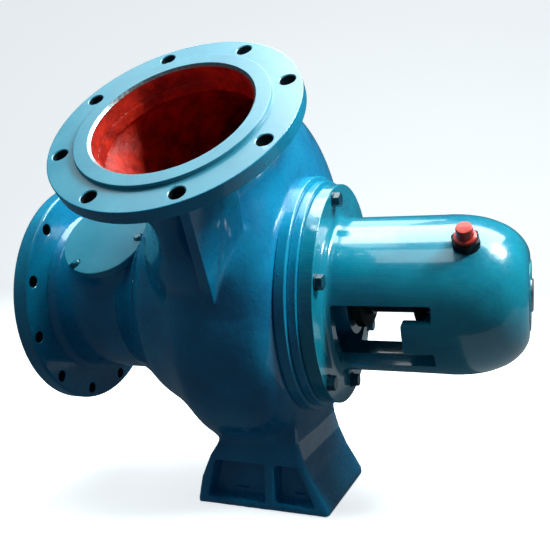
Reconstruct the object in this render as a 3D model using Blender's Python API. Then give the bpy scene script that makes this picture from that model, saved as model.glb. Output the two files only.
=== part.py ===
# Pulp pump: end suction, tilted discharge, spiral casing on a cast foot, lantern bearing bracket.
# Units are metres, +Z is up, +X points to the drive end and -Y is the side the discharge leans to.
# The origin is on the underside of the foot, below the shaft, in the plane of the discharge.

import math

import bmesh
import bpy
from mathutils import Matrix, Vector

# Overall layout
SHAFT_HEIGHT = 0.318        # shaft centre above the foot
DISCHARGE_TILT = math.radians(45.0)   # lean of the discharge from vertical, towards -Y
HAND_HOLE_TILT = math.radians(51.0)   # lean of the hand hole's axis
OIL_CAP_TILT = math.radians(48.0)     # lean of the oil filler's axis
GAP = 0.0003                # clearance kept between neighbouring pieces
ROUND = 44                  # sides of the large turned pieces
FLANGE_ROUND = 48           # sides of the flanges and the bearing bracket
SHAFT_ROUND = 28            # sides of the pieces on the shaft
SMALL_ROUND = 16            # sides of holes and studs

# Discharge flange, measured along its own axis from the shaft
DISCHARGE_FACE = 0.3423
DISCHARGE_THICK = 0.0182
DISCHARGE_RADIUS = 0.170
DISCHARGE_BORE = 0.1084
RAISED_RADIUS = 0.1319
RAISED_HEIGHT = 0.0054
NECK_TOP = DISCHARGE_FACE - DISCHARGE_THICK - GAP
DISCHARGE_HOLES = 8
DISCHARGE_PITCH_RADIUS = 0.1519
DISCHARGE_HOLE_RADIUS = 0.0105

# Suction nozzle and flange, measured along X
SUCTION_FACE = -0.3174
SUCTION_THICK = 0.026
SUCTION_RADIUS = 0.1838
SUCTION_BORE = 0.110
SUCTION_HOLES = 12
SUCTION_PITCH_RADIUS = 0.1675
SUCTION_HOLE_RADIUS = 0.009
SUCTION_HOLE_PHASE = math.radians(20.2)
SUCTION_RAISED_RADIUS = 0.150
SUCTION_RAISED_HEIGHT = 0.003
NOZZLE_RADIUS = 0.1267

# Hand hole on the suction nozzle, heights measured from the shaft
HAND_HOLE_X = -0.192
HAND_HOLE_RADIUS = 0.070
HAND_HOLE_BORE = 0.046
HAND_HOLE_SEAT = 0.1385
HAND_HOLE_TOP = 0.1505
HAND_HOLE_BOLTS = (-57.0, 63.0, 183.0)   # degrees round the lid
HAND_HOLE_SPIGOT = 0.120    # height of the lid's spigot end
LID_SLOT_HALF = 0.007       # half width of a bolt slot
LID_SLOT_DEPTH = 0.011      # from the rim to the centre of the slot's round end

# Spiral casing
WALL = 0.014                # thickness of the spiral's outer wall
CASING_FRONT = -0.121       # joint with the suction nozzle
CASING_BACK = 0.105         # joint with the rear flange
FRONT_RADIUS = 0.1588       # radius of the casing at its joint with the nozzle
EYE_BORE = 0.112            # bore at the suction side
REAR_BORE = 0.1502          # bore at the drive side
SPIRAL_BASE = 0.165         # radius beyond which the outside follows the spiral
CAVITY_BASE = 0.150         # radius beyond which the inside follows the spiral
TONGUE_ANGLE = 185.0        # degrees round the shaft from +Y, where the spiral is smallest
SPIRAL_SWEEP = 275.0
SPIRAL_START = 0.206        # outer radius at the tongue
SPIRAL_RISE = 0.000384      # growth of the outer radius in each degree
SPIRAL_REFERENCE = 0.2385   # outer radius for which the section below is drawn
CASING_STEPS = 56
DRAIN_TILT = math.radians(215.0)      # lean of the drain hole, low on the side away from the discharge
DRAIN_RADIUS = 0.008

# Discharge neck, outside, from inside the spiral up to the discharge flange:
# height along the leaning axis, half width, reach to +Y, reach to -Y, power of the superellipse,
# and the share by which the width falls towards -Y, which makes the section an egg
NECK_STATIONS = (
    (0.060, 0.0980, 0.165, 0.1100, 2.60, 0.00),
    (0.130, 0.1020, 0.185, 0.1280, 2.50, 0.00),
    (0.180, 0.1040, 0.198, 0.1400, 2.40, 0.10),
    (0.225, 0.1040, 0.196, 0.1340, 2.30, 0.52),
    (0.255, 0.1080, 0.180, 0.1250, 2.20, 0.60),
    (0.275, 0.1150, 0.166, 0.1220, 2.10, 0.46),
    (0.290, 0.1215, 0.152, 0.1245, 2.05, 0.22),
    (0.305, 0.1265, 0.138, 0.1275, 2.00, 0.00),
)
NECK_RADIUS = 0.1265        # outer radius under the flange
NECK_WALL = 0.0145
NECK_SIDES = 32
NECK_START = 0.258          # height at which the neck leaves the spiral casing

# Flange stack between casing and bearing bracket
REAR_FLANGE_FACE = 0.1204
REAR_FLANGE_RADIUS = 0.178
COVER_FACE = 0.1335
COVER_RADIUS = 0.1705
BRACKET_FLANGE_FACE = 0.1539
BRACKET_FLANGE_RADIUS = 0.1644

# Bearing bracket
HOUSING_RADIUS = 0.1141
LANTERN_BORE = 0.098
LANTERN_END = 0.300
WINDOW_START = 0.163
WINDOW_END = 0.2575
SLOT_END = 0.298            # end of the slots above and below the tongue
WINDOW_TOP = 3.0            # degrees below the horizontal
WINDOW_TONGUE_TOP = 15.5
WINDOW_TONGUE_BOTTOM = 40.0
WINDOW_BOTTOM = 55.0
HOUSING_END = 0.417
OIL_CAP_X = 0.340
END_COVER_RADIUS = 0.050

# Shaft line
SHAFT_RADIUS = 0.0275
SLEEVE_RADIUS = 0.0313
STUFFING_BORE = 0.0402
SHAFT_END = 0.4215
IMPELLER_RADIUS = 0.147
IMPELLER_BACK = 0.076

# Foot
FOOT_NEAR = -0.086          # ends of the foot across the pump
FOOT_FAR = 0.114
FOOT_LEFT = -0.064
FOOT_RIGHT = 0.146
FOOT_BASE_THICK = 0.012
FOOT_LEDGE = 0.069
FOOT_WEB = (-0.056, 0.072)  # sides of the web behind the pockets
FOOT_RIB = (0.047, 0.063)
ANCHOR_HOLE_RADIUS = 0.009
ANCHOR_HOLE_X = (0.0, 0.094)
ANCHOR_HOLE_Y = (-0.072, 0.089)

BLUE = (0.010, 0.235, 0.330)
BLUE_LIGHT = (0.120, 0.400, 0.480)
STEEL = (0.420, 0.420, 0.410)
DARK_STEEL = (0.050, 0.055, 0.060)
RED = (0.500, 0.030, 0.020)


def clear_scene():
    for item in list(bpy.data.objects):
        bpy.data.objects.remove(item, do_unlink=True)


def make_material(name, colour, roughness, metallic):
    finish = bpy.data.materials.new(name)
    finish.use_nodes = True
    shader = finish.node_tree.nodes["Principled BSDF"]
    shader.inputs["Base Color"].default_value = (*colour, 1.0)
    shader.inputs["Roughness"].default_value = roughness
    shader.inputs["Metallic"].default_value = metallic
    return finish


def add_object(name, mesh_data, colour, roughness=0.35, metallic=0.0, place=None):
    bmesh.ops.recalc_face_normals(mesh_data, faces=mesh_data.faces)
    mesh = bpy.data.meshes.new(name)
    mesh_data.to_mesh(mesh)
    mesh_data.free()
    mesh.shade_smooth()
    mesh.set_sharp_from_angle(angle=math.radians(35.0))
    item = bpy.data.objects.new(name, mesh)
    bpy.context.scene.collection.objects.link(item)
    mesh.materials.append(make_material(name + "_finish", colour, roughness, metallic))
    if place is not None:
        item.matrix_world = place
    return item


def add_cutter(name, mesh_data, place=None):
    cutter = add_object(name, mesh_data, DARK_STEEL, place=place)
    cutter.hide_render = True
    cutter.display_type = "WIRE"
    return cutter


def combine(item, other, operation):
    step = item.modifiers.new(operation.lower() + "_" + other.name, "BOOLEAN")
    step.operation = operation
    step.solver = "EXACT"
    step.object = other


def shaft_frame():
    """Local X along the shaft, origin on the shaft in the plane of the discharge."""
    return Matrix.Translation((0.0, 0.0, SHAFT_HEIGHT))


def leaning_frame(tilt, along=0.0):
    """Local X points up and out at the tilt from vertical towards -Y, from a point on the shaft."""
    out = Vector((0.0, -math.sin(tilt), math.cos(tilt)))
    across = Vector((0.0, math.cos(tilt), math.sin(tilt)))
    turn = Matrix((out, Vector((-1.0, 0.0, 0.0)), across)).transposed().to_4x4()
    return Matrix.Translation((along, 0.0, SHAFT_HEIGHT)) @ turn


def turned_mesh(outline, steps=ROUND):
    """Spins an outline of (along, out) points about local X; one that meets the axis makes a solid."""
    mesh_data = bmesh.new()
    verts = [mesh_data.verts.new((along, 0.0, out)) for along, out in outline]
    edges = [mesh_data.edges.new(pair) for pair in zip(verts, verts[1:])]
    if outline[0][1] > 0.0:
        edges.append(mesh_data.edges.new((verts[-1], verts[0])))
    bmesh.ops.spin(
        mesh_data, geom=verts + edges, cent=(0.0, 0.0, 0.0), axis=(1.0, 0.0, 0.0),
        angle=2.0 * math.pi, steps=steps, use_merge=True)
    bmesh.ops.remove_doubles(mesh_data, verts=mesh_data.verts, dist=1e-6)
    bmesh.ops.dissolve_degenerate(mesh_data, edges=mesh_data.edges, dist=1e-6)
    return mesh_data


def turned(name, outline, colour, roughness=0.35, metallic=0.0, place=None, steps=ROUND):
    return add_object(name, turned_mesh(outline, steps), colour, roughness, metallic, place)


def skin_rings(rings):
    """Closed body through rings of equal length, with a flat cap on each end."""
    mesh_data = bmesh.new()
    rows = [[mesh_data.verts.new(point) for point in ring] for ring in rings]
    for row, following in zip(rows, rows[1:]):
        for index in range(len(row)):
            after = (index + 1) % len(row)
            mesh_data.faces.new((row[index], row[after], following[after], following[index]))
    mesh_data.faces.new(rows[0])
    mesh_data.faces.new(list(reversed(rows[-1])))
    return mesh_data


def prism(outline, low, high, axis="Y"):
    """Extrudes an outline of two-number points from low to high along the axis."""
    if axis == "X":
        return skin_rings([[(level, a, b) for a, b in outline] for level in (low, high)])
    if axis == "Y":
        return skin_rings([[(a, level, b) for a, b in outline] for level in (low, high)])
    return skin_rings([[(a, b, level) for a, b in outline] for level in (low, high)])


def join_meshes(parts):
    whole = bmesh.new()
    for part in parts:
        scratch = bpy.data.meshes.new("scratch")
        part.to_mesh(scratch)
        part.free()
        whole.from_mesh(scratch)
        bpy.data.meshes.remove(scratch)
    return whole


def rod_mesh(low, high, radius, centre=(0.0, 0.0), steps=SMALL_ROUND):
    """Round rod along local X, its centre given as (Y, Z)."""
    circle = []
    for step in range(steps):
        angle = 2.0 * math.pi * step / steps
        circle.append((centre[0] + radius * math.cos(angle), centre[1] + radius * math.sin(angle)))
    return prism(circle, low, high, "X")


def bolt_circle(low, high, radius, pitch_radius, count, phase):
    rods = []
    for index in range(count):
        angle = phase + 2.0 * math.pi * index / count
        centre = (pitch_radius * math.cos(angle), pitch_radius * math.sin(angle))
        rods.append(rod_mesh(low, high, radius, centre))
    return join_meshes(rods)


def spiral_radius(degrees):
    """Outer radius of the spiral: a steady rise from the tongue, eased back inside the neck."""
    turn = (degrees - TONGUE_ANGLE) % 360.0
    if turn <= SPIRAL_SWEEP:
        return SPIRAL_START + SPIRAL_RISE * turn
    top = SPIRAL_START + SPIRAL_RISE * SPIRAL_SWEEP
    part = (turn - SPIRAL_SWEEP) / (360.0 - SPIRAL_SWEEP)
    ease = 0.5 + 0.5 * math.cos(math.pi * part)
    return SPIRAL_START + (top - SPIRAL_START) * ease


def spiral_mesh(section, base, shrink=0.0):
    """Turns a section round the shaft while its part beyond the base radius follows the spiral."""
    mesh_data = bmesh.new()
    rows = []
    for step in range(CASING_STEPS):
        degrees = 360.0 * step / CASING_STEPS
        growth = (spiral_radius(degrees) - shrink - base) / (SPIRAL_REFERENCE - shrink - base)
        angle = math.radians(degrees)
        row = []
        for along, out in section:
            reach = out if out <= base else base + (out - base) * growth
            row.append(mesh_data.verts.new((along, reach * math.cos(angle), reach * math.sin(angle))))
        rows.append(row)
    for index, row in enumerate(rows):
        following = rows[(index + 1) % CASING_STEPS]
        for point in range(len(row) - 1):
            mesh_data.faces.new((row[point], following[point], following[point + 1], row[point + 1]))
    for end in (0, -1):
        rim = [row[end] for row in rows]
        mesh_data.faces.new(rim if end else list(reversed(rim)))
    return mesh_data


def casing_section(grow=0.0):
    """Half section of the casing's outside, from the suction joint round to the rear flange."""
    flank = [(CASING_FRONT, FRONT_RADIUS), (-0.105, 0.1715), (-0.080, 0.1875), (-0.060, 0.2045)]
    crown = [(-0.036, 0.228), (-0.018, 0.236), (0.0, 0.2385), (0.032, 0.2375)]
    shoulder = [(0.058, 0.231), (0.080, 0.219), (0.095, 0.203), (0.103, 0.186), (CASING_BACK, 0.1715)]
    outline = flank + crown + shoulder
    return [(along, out + grow) for along, out in outline]


def cavity_section():
    flank = [(-0.105, 0.1525), (-0.090, 0.1655), (-0.072, 0.178), (-0.054, 0.1935), (-0.034, 0.214)]
    crown = [(-0.016, 0.222), (0.0, 0.2245), (0.030, 0.2235)]
    shoulder = [(0.053, 0.217), (0.073, 0.206), (0.086, 0.192), (0.092, 0.175), (0.093, 0.160)]
    return flank + crown + shoulder


def neck_ring(height, half_width, back, front, power, taper=0.0):
    """Ring across the neck: a superellipse from back (+Y) to front (-Y), narrower towards the front."""
    middle = 0.5 * (back - front)
    half_span = 0.5 * (back + front)
    ring = []
    for step in range(NECK_SIDES):
        angle = 2.0 * math.pi * step / NECK_SIDES
        side = math.cos(angle)
        across = math.sin(angle)
        reach = math.copysign(abs(across) ** (2.0 / power), across)
        narrowing = 1.0 - taper * max(0.0, -reach)
        width = half_width * narrowing * math.copysign(abs(side) ** (2.0 / power), side)
        span = middle + half_span * reach
        ring.append((height, -width, span))
    return ring


def neck_mesh(wall, top, end_radius):
    """Neck from inside the spiral to its round end at the top, drawn in by the wall."""
    rings = []
    for height, half_width, back, front, power, taper in NECK_STATIONS:
        rings.append(neck_ring(height, half_width - wall, back - wall, front - wall, power, taper))
    rings.append(neck_ring(top, end_radius, end_radius, end_radius, 2.0))
    return skin_rings(rings)


def gusset_mesh():
    """Wedge under the discharge flange: upright on one side, spread towards the casing on the other."""
    root = -0.095
    spread = 0.386
    rings = []
    for height, left, ridge, front in ((0.150, 0.0205, 0.0345, -0.146), (NECK_TOP, 0.0565, 0.0690, -0.151)):
        right = ridge + spread * (root - front)
        rings.append([
            (height, -left, front), (height, -ridge, front), (height, -right, root), (height, -left, root)])
    return skin_rings(rings)


def make_casing():
    frame = shaft_frame()
    outside = leaning_frame(DISCHARGE_TILT)
    casing = add_object("volute_casing", spiral_mesh(casing_section(), SPIRAL_BASE), BLUE, place=frame)
    additions = {
        "add_neck": neck_mesh(0.0, NECK_TOP, NECK_RADIUS),
        "add_gusset": gusset_mesh(),
    }
    for name, mesh_data in additions.items():
        combine(casing, add_cutter(name, mesh_data, outside), "UNION")
    cuts = {
        "cut_spiral": (spiral_mesh(cavity_section(), CAVITY_BASE, shrink=WALL), frame),
        "cut_neck": (neck_mesh(NECK_WALL, NECK_TOP + 0.02, DISCHARGE_BORE), outside),
        "cut_above": (slab_mesh(NECK_START, NECK_TOP + 0.03), outside),
        "cut_eye": (rod_mesh(-0.14, 0.0, EYE_BORE, steps=ROUND), frame),
        "cut_rear": (rod_mesh(0.0, 0.13, REAR_BORE, steps=ROUND), frame),
        "cut_drain": (rod_mesh(0.20, 0.29, DRAIN_RADIUS + GAP), leaning_frame(DRAIN_TILT)),
    }
    for name, (mesh_data, place) in cuts.items():
        combine(casing, add_cutter(name, mesh_data, place), "DIFFERENCE")


def slab_mesh(low, high):
    """Square slab across the leaning axis, wider than the neck."""
    reach = 0.24
    outline = [(-reach, -reach), (reach, -reach), (reach, reach), (-reach, reach)]
    return prism(outline, low, high, "X")


def make_discharge_neck():
    """Upper end of the neck and of its gusset, between the spiral casing and the flange."""
    place = leaning_frame(DISCHARGE_TILT)
    neck = add_object("discharge_neck", neck_mesh(0.0, NECK_TOP, NECK_RADIUS), BLUE, place=place)
    combine(neck, add_cutter("add_neck_gusset", gusset_mesh(), place), "UNION")
    inside = neck_mesh(NECK_WALL, NECK_TOP + 0.02, DISCHARGE_BORE)
    combine(neck, add_cutter("cut_neck_bore", inside, place), "DIFFERENCE")
    combine(neck, add_cutter("cut_below", slab_mesh(0.0, NECK_START + GAP), place), "DIFFERENCE")


def make_discharge_flange():
    back = DISCHARGE_FACE - DISCHARGE_THICK
    face = DISCHARGE_FACE
    raised = face + RAISED_HEIGHT
    outline = [
        (back, DISCHARGE_BORE), (back, DISCHARGE_RADIUS - 0.001), (back + 0.001, DISCHARGE_RADIUS),
        (face - 0.0015, DISCHARGE_RADIUS), (face, DISCHARGE_RADIUS - 0.0015), (face, RAISED_RADIUS),
        (raised, RAISED_RADIUS - 0.0008), (raised, DISCHARGE_BORE)]
    place = leaning_frame(DISCHARGE_TILT)
    flange = turned("discharge_flange", outline, BLUE_LIGHT, 0.4, place=place, steps=FLANGE_ROUND)
    holes = bolt_circle(
        back - 0.01, raised + 0.01, DISCHARGE_HOLE_RADIUS, DISCHARGE_PITCH_RADIUS,
        DISCHARGE_HOLES, math.pi / DISCHARGE_HOLES)
    combine(flange, add_cutter("cut_discharge_holes", holes, place), "DIFFERENCE")


def make_suction():
    near = SUCTION_FACE + SUCTION_THICK
    far = SUCTION_FACE
    raised = far - SUCTION_RAISED_HEIGHT
    outline = [
        (near, SUCTION_BORE), (raised, SUCTION_BORE), (raised, SUCTION_RAISED_RADIUS - 0.001),
        (far, SUCTION_RAISED_RADIUS), (far, SUCTION_RADIUS - 0.006), (far + 0.002, SUCTION_RADIUS - 0.002),
        (far + 0.006, SUCTION_RADIUS), (near - 0.003, SUCTION_RADIUS), (near, SUCTION_RADIUS - 0.003)]
    flange = turned("suction_flange", outline, BLUE, place=shaft_frame(), steps=FLANGE_ROUND)
    holes = bolt_circle(
        raised - 0.01, near + 0.01, SUCTION_HOLE_RADIUS, SUCTION_PITCH_RADIUS,
        SUCTION_HOLES, SUCTION_HOLE_PHASE)
    combine(flange, add_cutter("cut_suction_holes", holes, shaft_frame()), "DIFFERENCE")

    start = near + GAP
    end = CASING_FRONT - GAP
    outline = [
        (start, 0.100), (start, 0.138), (start + 0.003, 0.1325), (start + 0.008, 0.1285),
        (start + 0.016, NOZZLE_RADIUS), (-0.182, NOZZLE_RADIUS), (-0.170, 0.1290), (-0.156, 0.1353),
        (-0.139, 0.1455), (end, FRONT_RADIUS), (end, 0.100)]
    nozzle = turned("suction_nozzle", outline, BLUE, place=shaft_frame())
    port = leaning_frame(HAND_HOLE_TILT, HAND_HOLE_X)
    boss = rod_mesh(0.090, HAND_HOLE_SEAT, HAND_HOLE_RADIUS - 0.006, steps=ROUND)
    combine(nozzle, add_cutter("cut_boss", boss, port), "UNION")
    seat = rod_mesh(HAND_HOLE_SEAT, 0.25, HAND_HOLE_RADIUS + 0.0012, steps=ROUND)
    combine(nozzle, add_cutter("cut_lid_seat", seat, port), "DIFFERENCE")
    bore = rod_mesh(-0.120, 0.120, SUCTION_BORE, steps=ROUND)
    bore_place = Matrix.Translation((0.5 * (start + end), 0.0, SHAFT_HEIGHT))
    combine(nozzle, add_cutter("cut_nozzle_bore", bore, bore_place), "DIFFERENCE")
    hole = rod_mesh(0.0, HAND_HOLE_SEAT + 0.02, HAND_HOLE_BORE, steps=32)
    combine(nozzle, add_cutter("cut_hand_hole", hole, port), "DIFFERENCE")


def lid_slot_outline(degrees):
    """Open slot that runs out over the lid's rim, with a round inner end."""
    angle = math.radians(degrees)
    out = Vector((math.cos(angle), math.sin(angle)))
    across = Vector((-out.y, out.x))
    centre = out * (HAND_HOLE_RADIUS - LID_SLOT_DEPTH)
    points = []
    for step in range(9):
        bend = math.radians(90.0 + 22.5 * step)
        points.append(centre + LID_SLOT_HALF * (math.cos(bend) * out + math.sin(bend) * across))
    beyond = out * (HAND_HOLE_RADIUS + 0.02)
    points.append(beyond - across * LID_SLOT_HALF)
    points.append(beyond + across * LID_SLOT_HALF)
    return [(point.x, point.y) for point in points]


def make_hand_hole_cover():
    """Round lid with an open slot at each bolt, and a spigot in the hand hole."""
    place = leaning_frame(HAND_HOLE_TILT, HAND_HOLE_X)
    seat = HAND_HOLE_SEAT + GAP
    spigot = HAND_HOLE_BORE - 0.001
    edge = 0.0015
    outline = [
        (HAND_HOLE_SPIGOT, 0.0), (HAND_HOLE_SPIGOT, spigot), (seat, spigot), (seat, HAND_HOLE_RADIUS),
        (HAND_HOLE_TOP - edge, HAND_HOLE_RADIUS), (HAND_HOLE_TOP, HAND_HOLE_RADIUS - edge),
        (HAND_HOLE_TOP, 0.0)]
    lid = turned("hand_hole_cover", outline, BLUE_LIGHT, 0.4, place=place)
    slots = []
    for degrees in HAND_HOLE_BOLTS:
        slots.append(prism(lid_slot_outline(degrees), seat - 0.002, HAND_HOLE_TOP + 0.005, "X"))
    combine(lid, add_cutter("cut_lid_slots", join_meshes(slots), place), "DIFFERENCE")


def make_flange_stack():
    rear = [
        (CASING_BACK + GAP, REAR_BORE), (CASING_BACK + GAP, REAR_FLANGE_RADIUS - 0.0015),
        (CASING_BACK + 0.0018, REAR_FLANGE_RADIUS), (REAR_FLANGE_FACE - 0.0025, REAR_FLANGE_RADIUS),
        (REAR_FLANGE_FACE, REAR_FLANGE_RADIUS - 0.0025), (REAR_FLANGE_FACE, REAR_BORE)]
    turned("casing_rear_flange", rear, BLUE, place=shaft_frame())
    seat = REAR_FLANGE_FACE + GAP
    face = COVER_FACE - GAP
    spigot = REAR_BORE - GAP
    cover = [
        (0.092, STUFFING_BORE), (0.092, spigot), (seat, spigot), (seat, COVER_RADIUS - 0.001),
        (seat + 0.001, COVER_RADIUS), (face - 0.0015, COVER_RADIUS), (face, COVER_RADIUS - 0.0015),
        (face, 0.066), (0.170, 0.062), (0.172, 0.060), (0.172, STUFFING_BORE)]
    turned("stuffing_box_cover", cover, BLUE, place=shaft_frame())


def make_bracket():
    face = BRACKET_FLANGE_FACE
    outline = [
        (COVER_FACE, LANTERN_BORE), (COVER_FACE, BRACKET_FLANGE_RADIUS),
        (face - 0.0018, BRACKET_FLANGE_RADIUS), (face, BRACKET_FLANGE_RADIUS - 0.0018),
        (face, 0.1235), (face + 0.004, 0.1175), (face + 0.010, HOUSING_RADIUS + 0.001),
        (face + 0.020, HOUSING_RADIUS), (0.318, HOUSING_RADIUS + 0.0004), (0.340, 0.1125),
        (0.362, 0.108), (0.383, 0.0995), (0.396, 0.091), (0.406, 0.081), (0.4125, 0.071),
        (0.4160, 0.062), (HOUSING_END, 0.054), (HOUSING_END, END_COVER_RADIUS + GAP),
        (0.404, END_COVER_RADIUS + GAP), (0.404, SHAFT_RADIUS + 0.0005),
        (LANTERN_END, SHAFT_RADIUS + 0.0005), (LANTERN_END, LANTERN_BORE)]
    bracket = turned("bearing_bracket", outline, BLUE, place=shaft_frame(), steps=FLANGE_ROUND)
    windows = []
    for side in (-1.0, 1.0):
        slot_start = WINDOW_END - 0.004
        windows.append(window_mesh(side, WINDOW_START, WINDOW_END, WINDOW_TOP, WINDOW_BOTTOM))
        windows.append(window_mesh(side, slot_start, SLOT_END, WINDOW_TOP, WINDOW_TONGUE_TOP))
        windows.append(window_mesh(side, slot_start, SLOT_END, WINDOW_TONGUE_BOTTOM, WINDOW_BOTTOM))
    for index, window in enumerate(windows):
        combine(bracket, add_cutter("cut_window_%d" % index, window, shaft_frame()), "DIFFERENCE")
    well = oil_filler_frame()
    combine(bracket, add_cutter("cut_filler", rod_mesh(0.085, 0.13, 0.0125), well), "DIFFERENCE")


def window_mesh(side, start, end, top, bottom):
    """Wedge between two angles below the horizontal, from inside the lantern to outside it."""
    outline = []
    for degrees in (top, 0.5 * (top + bottom), bottom):
        angle = math.radians(degrees)
        outline.append((side * 0.135 * math.cos(angle), -0.135 * math.sin(angle)))
    for degrees in (bottom, 0.5 * (top + bottom), top):
        angle = math.radians(degrees)
        outline.append((side * 0.080 * math.cos(angle), -0.080 * math.sin(angle)))
    return prism(outline, start, end, "X")


def oil_filler_frame():
    return leaning_frame(OIL_CAP_TILT, OIL_CAP_X)


def make_oil_filler():
    """Threaded stem in the housing, dark hexagon on it, red cap on the hexagon."""
    place = oil_filler_frame()
    flat = 0.0126
    hexagon = []
    for step in range(6):
        angle = math.radians(60.0 * step + 12.0)
        hexagon.append((0.0200 * math.cos(angle), 0.0200 * math.sin(angle)))
    nut = add_object(
        "oil_filler_nut", prism(hexagon, HOUSING_RADIUS + 0.0020, HOUSING_RADIUS + flat, "X"),
        DARK_STEEL, 0.45, 0.6, place)
    stem = rod_mesh(0.090, HOUSING_RADIUS + 0.004, 0.0120)
    combine(nut, add_cutter("add_stem", stem, place), "UNION")
    low = HOUSING_RADIUS + flat + GAP
    cap = [
        (low, 0.0), (low, 0.0105), (low + 0.002, 0.0118), (low + 0.010, 0.0118), (low + 0.012, 0.0100),
        (low + 0.018, 0.0092), (low + 0.026, 0.0088), (low + 0.029, 0.0070), (low + 0.030, 0.0)]
    turned("oil_filler_cap", cap, RED, 0.3, place=place, steps=20)


def make_shaft_line():
    shaft = [
        (-0.088, 0.0), (-0.088, 0.0125), (-0.086, 0.0140), (-0.0645, 0.0140), (-0.0645, 0.0205),
        (0.200, 0.0205), (0.200, SHAFT_RADIUS), (0.400, SHAFT_RADIUS), (0.400, 0.0240),
        (SHAFT_END - 0.002, 0.0240), (SHAFT_END, 0.0220), (SHAFT_END, 0.0)]
    turned("shaft", shaft, STEEL, 0.3, 1.0, shaft_frame(), SHAFT_ROUND)
    sleeve = [
        (IMPELLER_BACK + GAP, 0.0208), (IMPELLER_BACK + GAP, SLEEVE_RADIUS), (0.199, SLEEVE_RADIUS),
        (0.1997, SLEEVE_RADIUS - 0.0007), (0.1997, 0.0208)]
    turned("shaft_sleeve", sleeve, STEEL, 0.25, 1.0, shaft_frame(), SHAFT_ROUND)
    slinger = [
        (0.262, SHAFT_RADIUS + GAP), (0.262, 0.040), (0.265, 0.046), (0.268, 0.046), (0.270, 0.036),
        (0.276, 0.034), (0.276, SHAFT_RADIUS + GAP)]
    turned("water_slinger", slinger, DARK_STEEL, 0.6, 0.0, shaft_frame(), SHAFT_ROUND)
    inner_cap = [
        (0.289, SHAFT_RADIUS + 0.0006), (0.289, 0.046), (0.291, 0.048), (0.291, 0.062),
        (0.2925, 0.0635), (LANTERN_END - GAP, 0.0635), (LANTERN_END - GAP, SHAFT_RADIUS + 0.0006)]
    turned("inner_bearing_cover", inner_cap, BLUE, 0.4, 0.0, shaft_frame(), SHAFT_ROUND)
    end_cover = [
        (0.4043, 0.0246), (0.4043, END_COVER_RADIUS), (0.4175, END_COVER_RADIUS), (0.4185, 0.049),
        (0.4185, 0.032), (0.4165, 0.031), (0.4165, 0.0246)]
    turned("bearing_end_cover", end_cover, BLUE, 0.4, 0.0, shaft_frame(), SHAFT_ROUND)


def make_gland():
    """Split gland: a follower in the stuffing box under an oval plate, held by two studs."""
    follower = [
        (0.158, 0.0300), (0.158, STUFFING_BORE - 0.0005), (0.181, STUFFING_BORE - 0.0005),
        (0.181, 0.0300)]
    gland = turned("packing_gland", follower, STEEL, 0.4, 0.9, shaft_frame(), SHAFT_ROUND)
    oval = []
    for step in range(36):
        angle = 2.0 * math.pi * step / 36
        oval.append((0.066 * math.cos(angle), 0.050 * math.sin(angle)))
    plate = prism(oval, 0.179, 0.191, "X")
    combine(gland, add_cutter("add_gland_plate", plate, shaft_frame()), "UNION")
    bore = rod_mesh(0.150, 0.20, 0.0318, steps=SHAFT_ROUND)
    combine(gland, add_cutter("cut_gland_bore", bore, shaft_frame()), "DIFFERENCE")
    holes = join_meshes([rod_mesh(0.17, 0.20, 0.0060, (side * 0.053, 0.0), 12) for side in (-1.0, 1.0)])
    combine(gland, add_cutter("cut_gland_holes", holes, shaft_frame()), "DIFFERENCE")
    for name, side in (("gland_stud_near", -1.0), ("gland_stud_far", 1.0)):
        stud = rod_mesh(0.172 + GAP, 0.214, 0.0050, (side * 0.053, 0.0), 12)
        add_object(name, stud, STEEL, 0.35, 1.0, shaft_frame())


def make_impeller():
    """Half-open wheel: a curved hub in front of a back plate, with three swept vanes."""
    hub = [
        (-0.0640, 0.0208), (-0.0640, 0.032), (-0.045, 0.036), (-0.010, 0.042), (0.030, 0.058),
        (0.052, 0.090), (0.060, 0.125), (0.0615, IMPELLER_RADIUS), (0.069, IMPELLER_RADIUS),
        (0.069, 0.060), (IMPELLER_BACK, 0.052), (IMPELLER_BACK, 0.0208)]
    wheel = turned("impeller", hub, DARK_STEEL, 0.5, 0.7, shaft_frame(), SHAFT_ROUND)
    for index in range(3):
        combine(wheel, add_cutter("add_vane_%d" % index, vane_mesh(120.0 * index), shaft_frame()), "UNION")
    nut = [
        (-0.104, 0.0), (-0.102, 0.010), (-0.096, 0.018), (-0.088, 0.0225), (-0.0645 - GAP, 0.026),
        (-0.0645 - GAP, 0.0145), (-0.0882, 0.0145), (-0.0882, 0.0)]
    turned("impeller_nut", nut, STEEL, 0.35, 0.9, shaft_frame(), SHAFT_ROUND)
    liner = [
        (-0.1045, 0.1125), (-0.1045, 0.145), (-0.0955, 0.151), (-0.0955, 0.116), (-0.0965, 0.1125)]
    turned("suction_liner", liner, DARK_STEEL, 0.45, 0.7, shaft_frame(), ROUND)


def vane_mesh(start):
    """Vane swept back from the hub to the rim, its front edge level with the liner."""
    rings = []
    steps = 8
    for step in range(steps + 1):
        part = step / steps
        radius = 0.034 + (IMPELLER_RADIUS - 0.036) * part
        angle = math.radians(start + 105.0 * part ** 0.8)
        front = -0.058 - 0.034 * min(1.0, part * 1.6)
        back = 0.0665 - 0.060 * (1.0 - part) ** 2
        half = 0.0055
        out = Vector((math.cos(angle), math.sin(angle)))
        slope = Vector((-out.y, out.x)) + out * 0.45
        normal = Vector((-slope.y, slope.x)).normalized()
        inner = out * radius - normal * half
        outer = out * radius + normal * half
        rings.append([
            (front, inner.x, inner.y), (front, outer.x, outer.y), (back, outer.x, outer.y),
            (back, inner.x, inner.y)])
    return skin_rings(rings)


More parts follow.
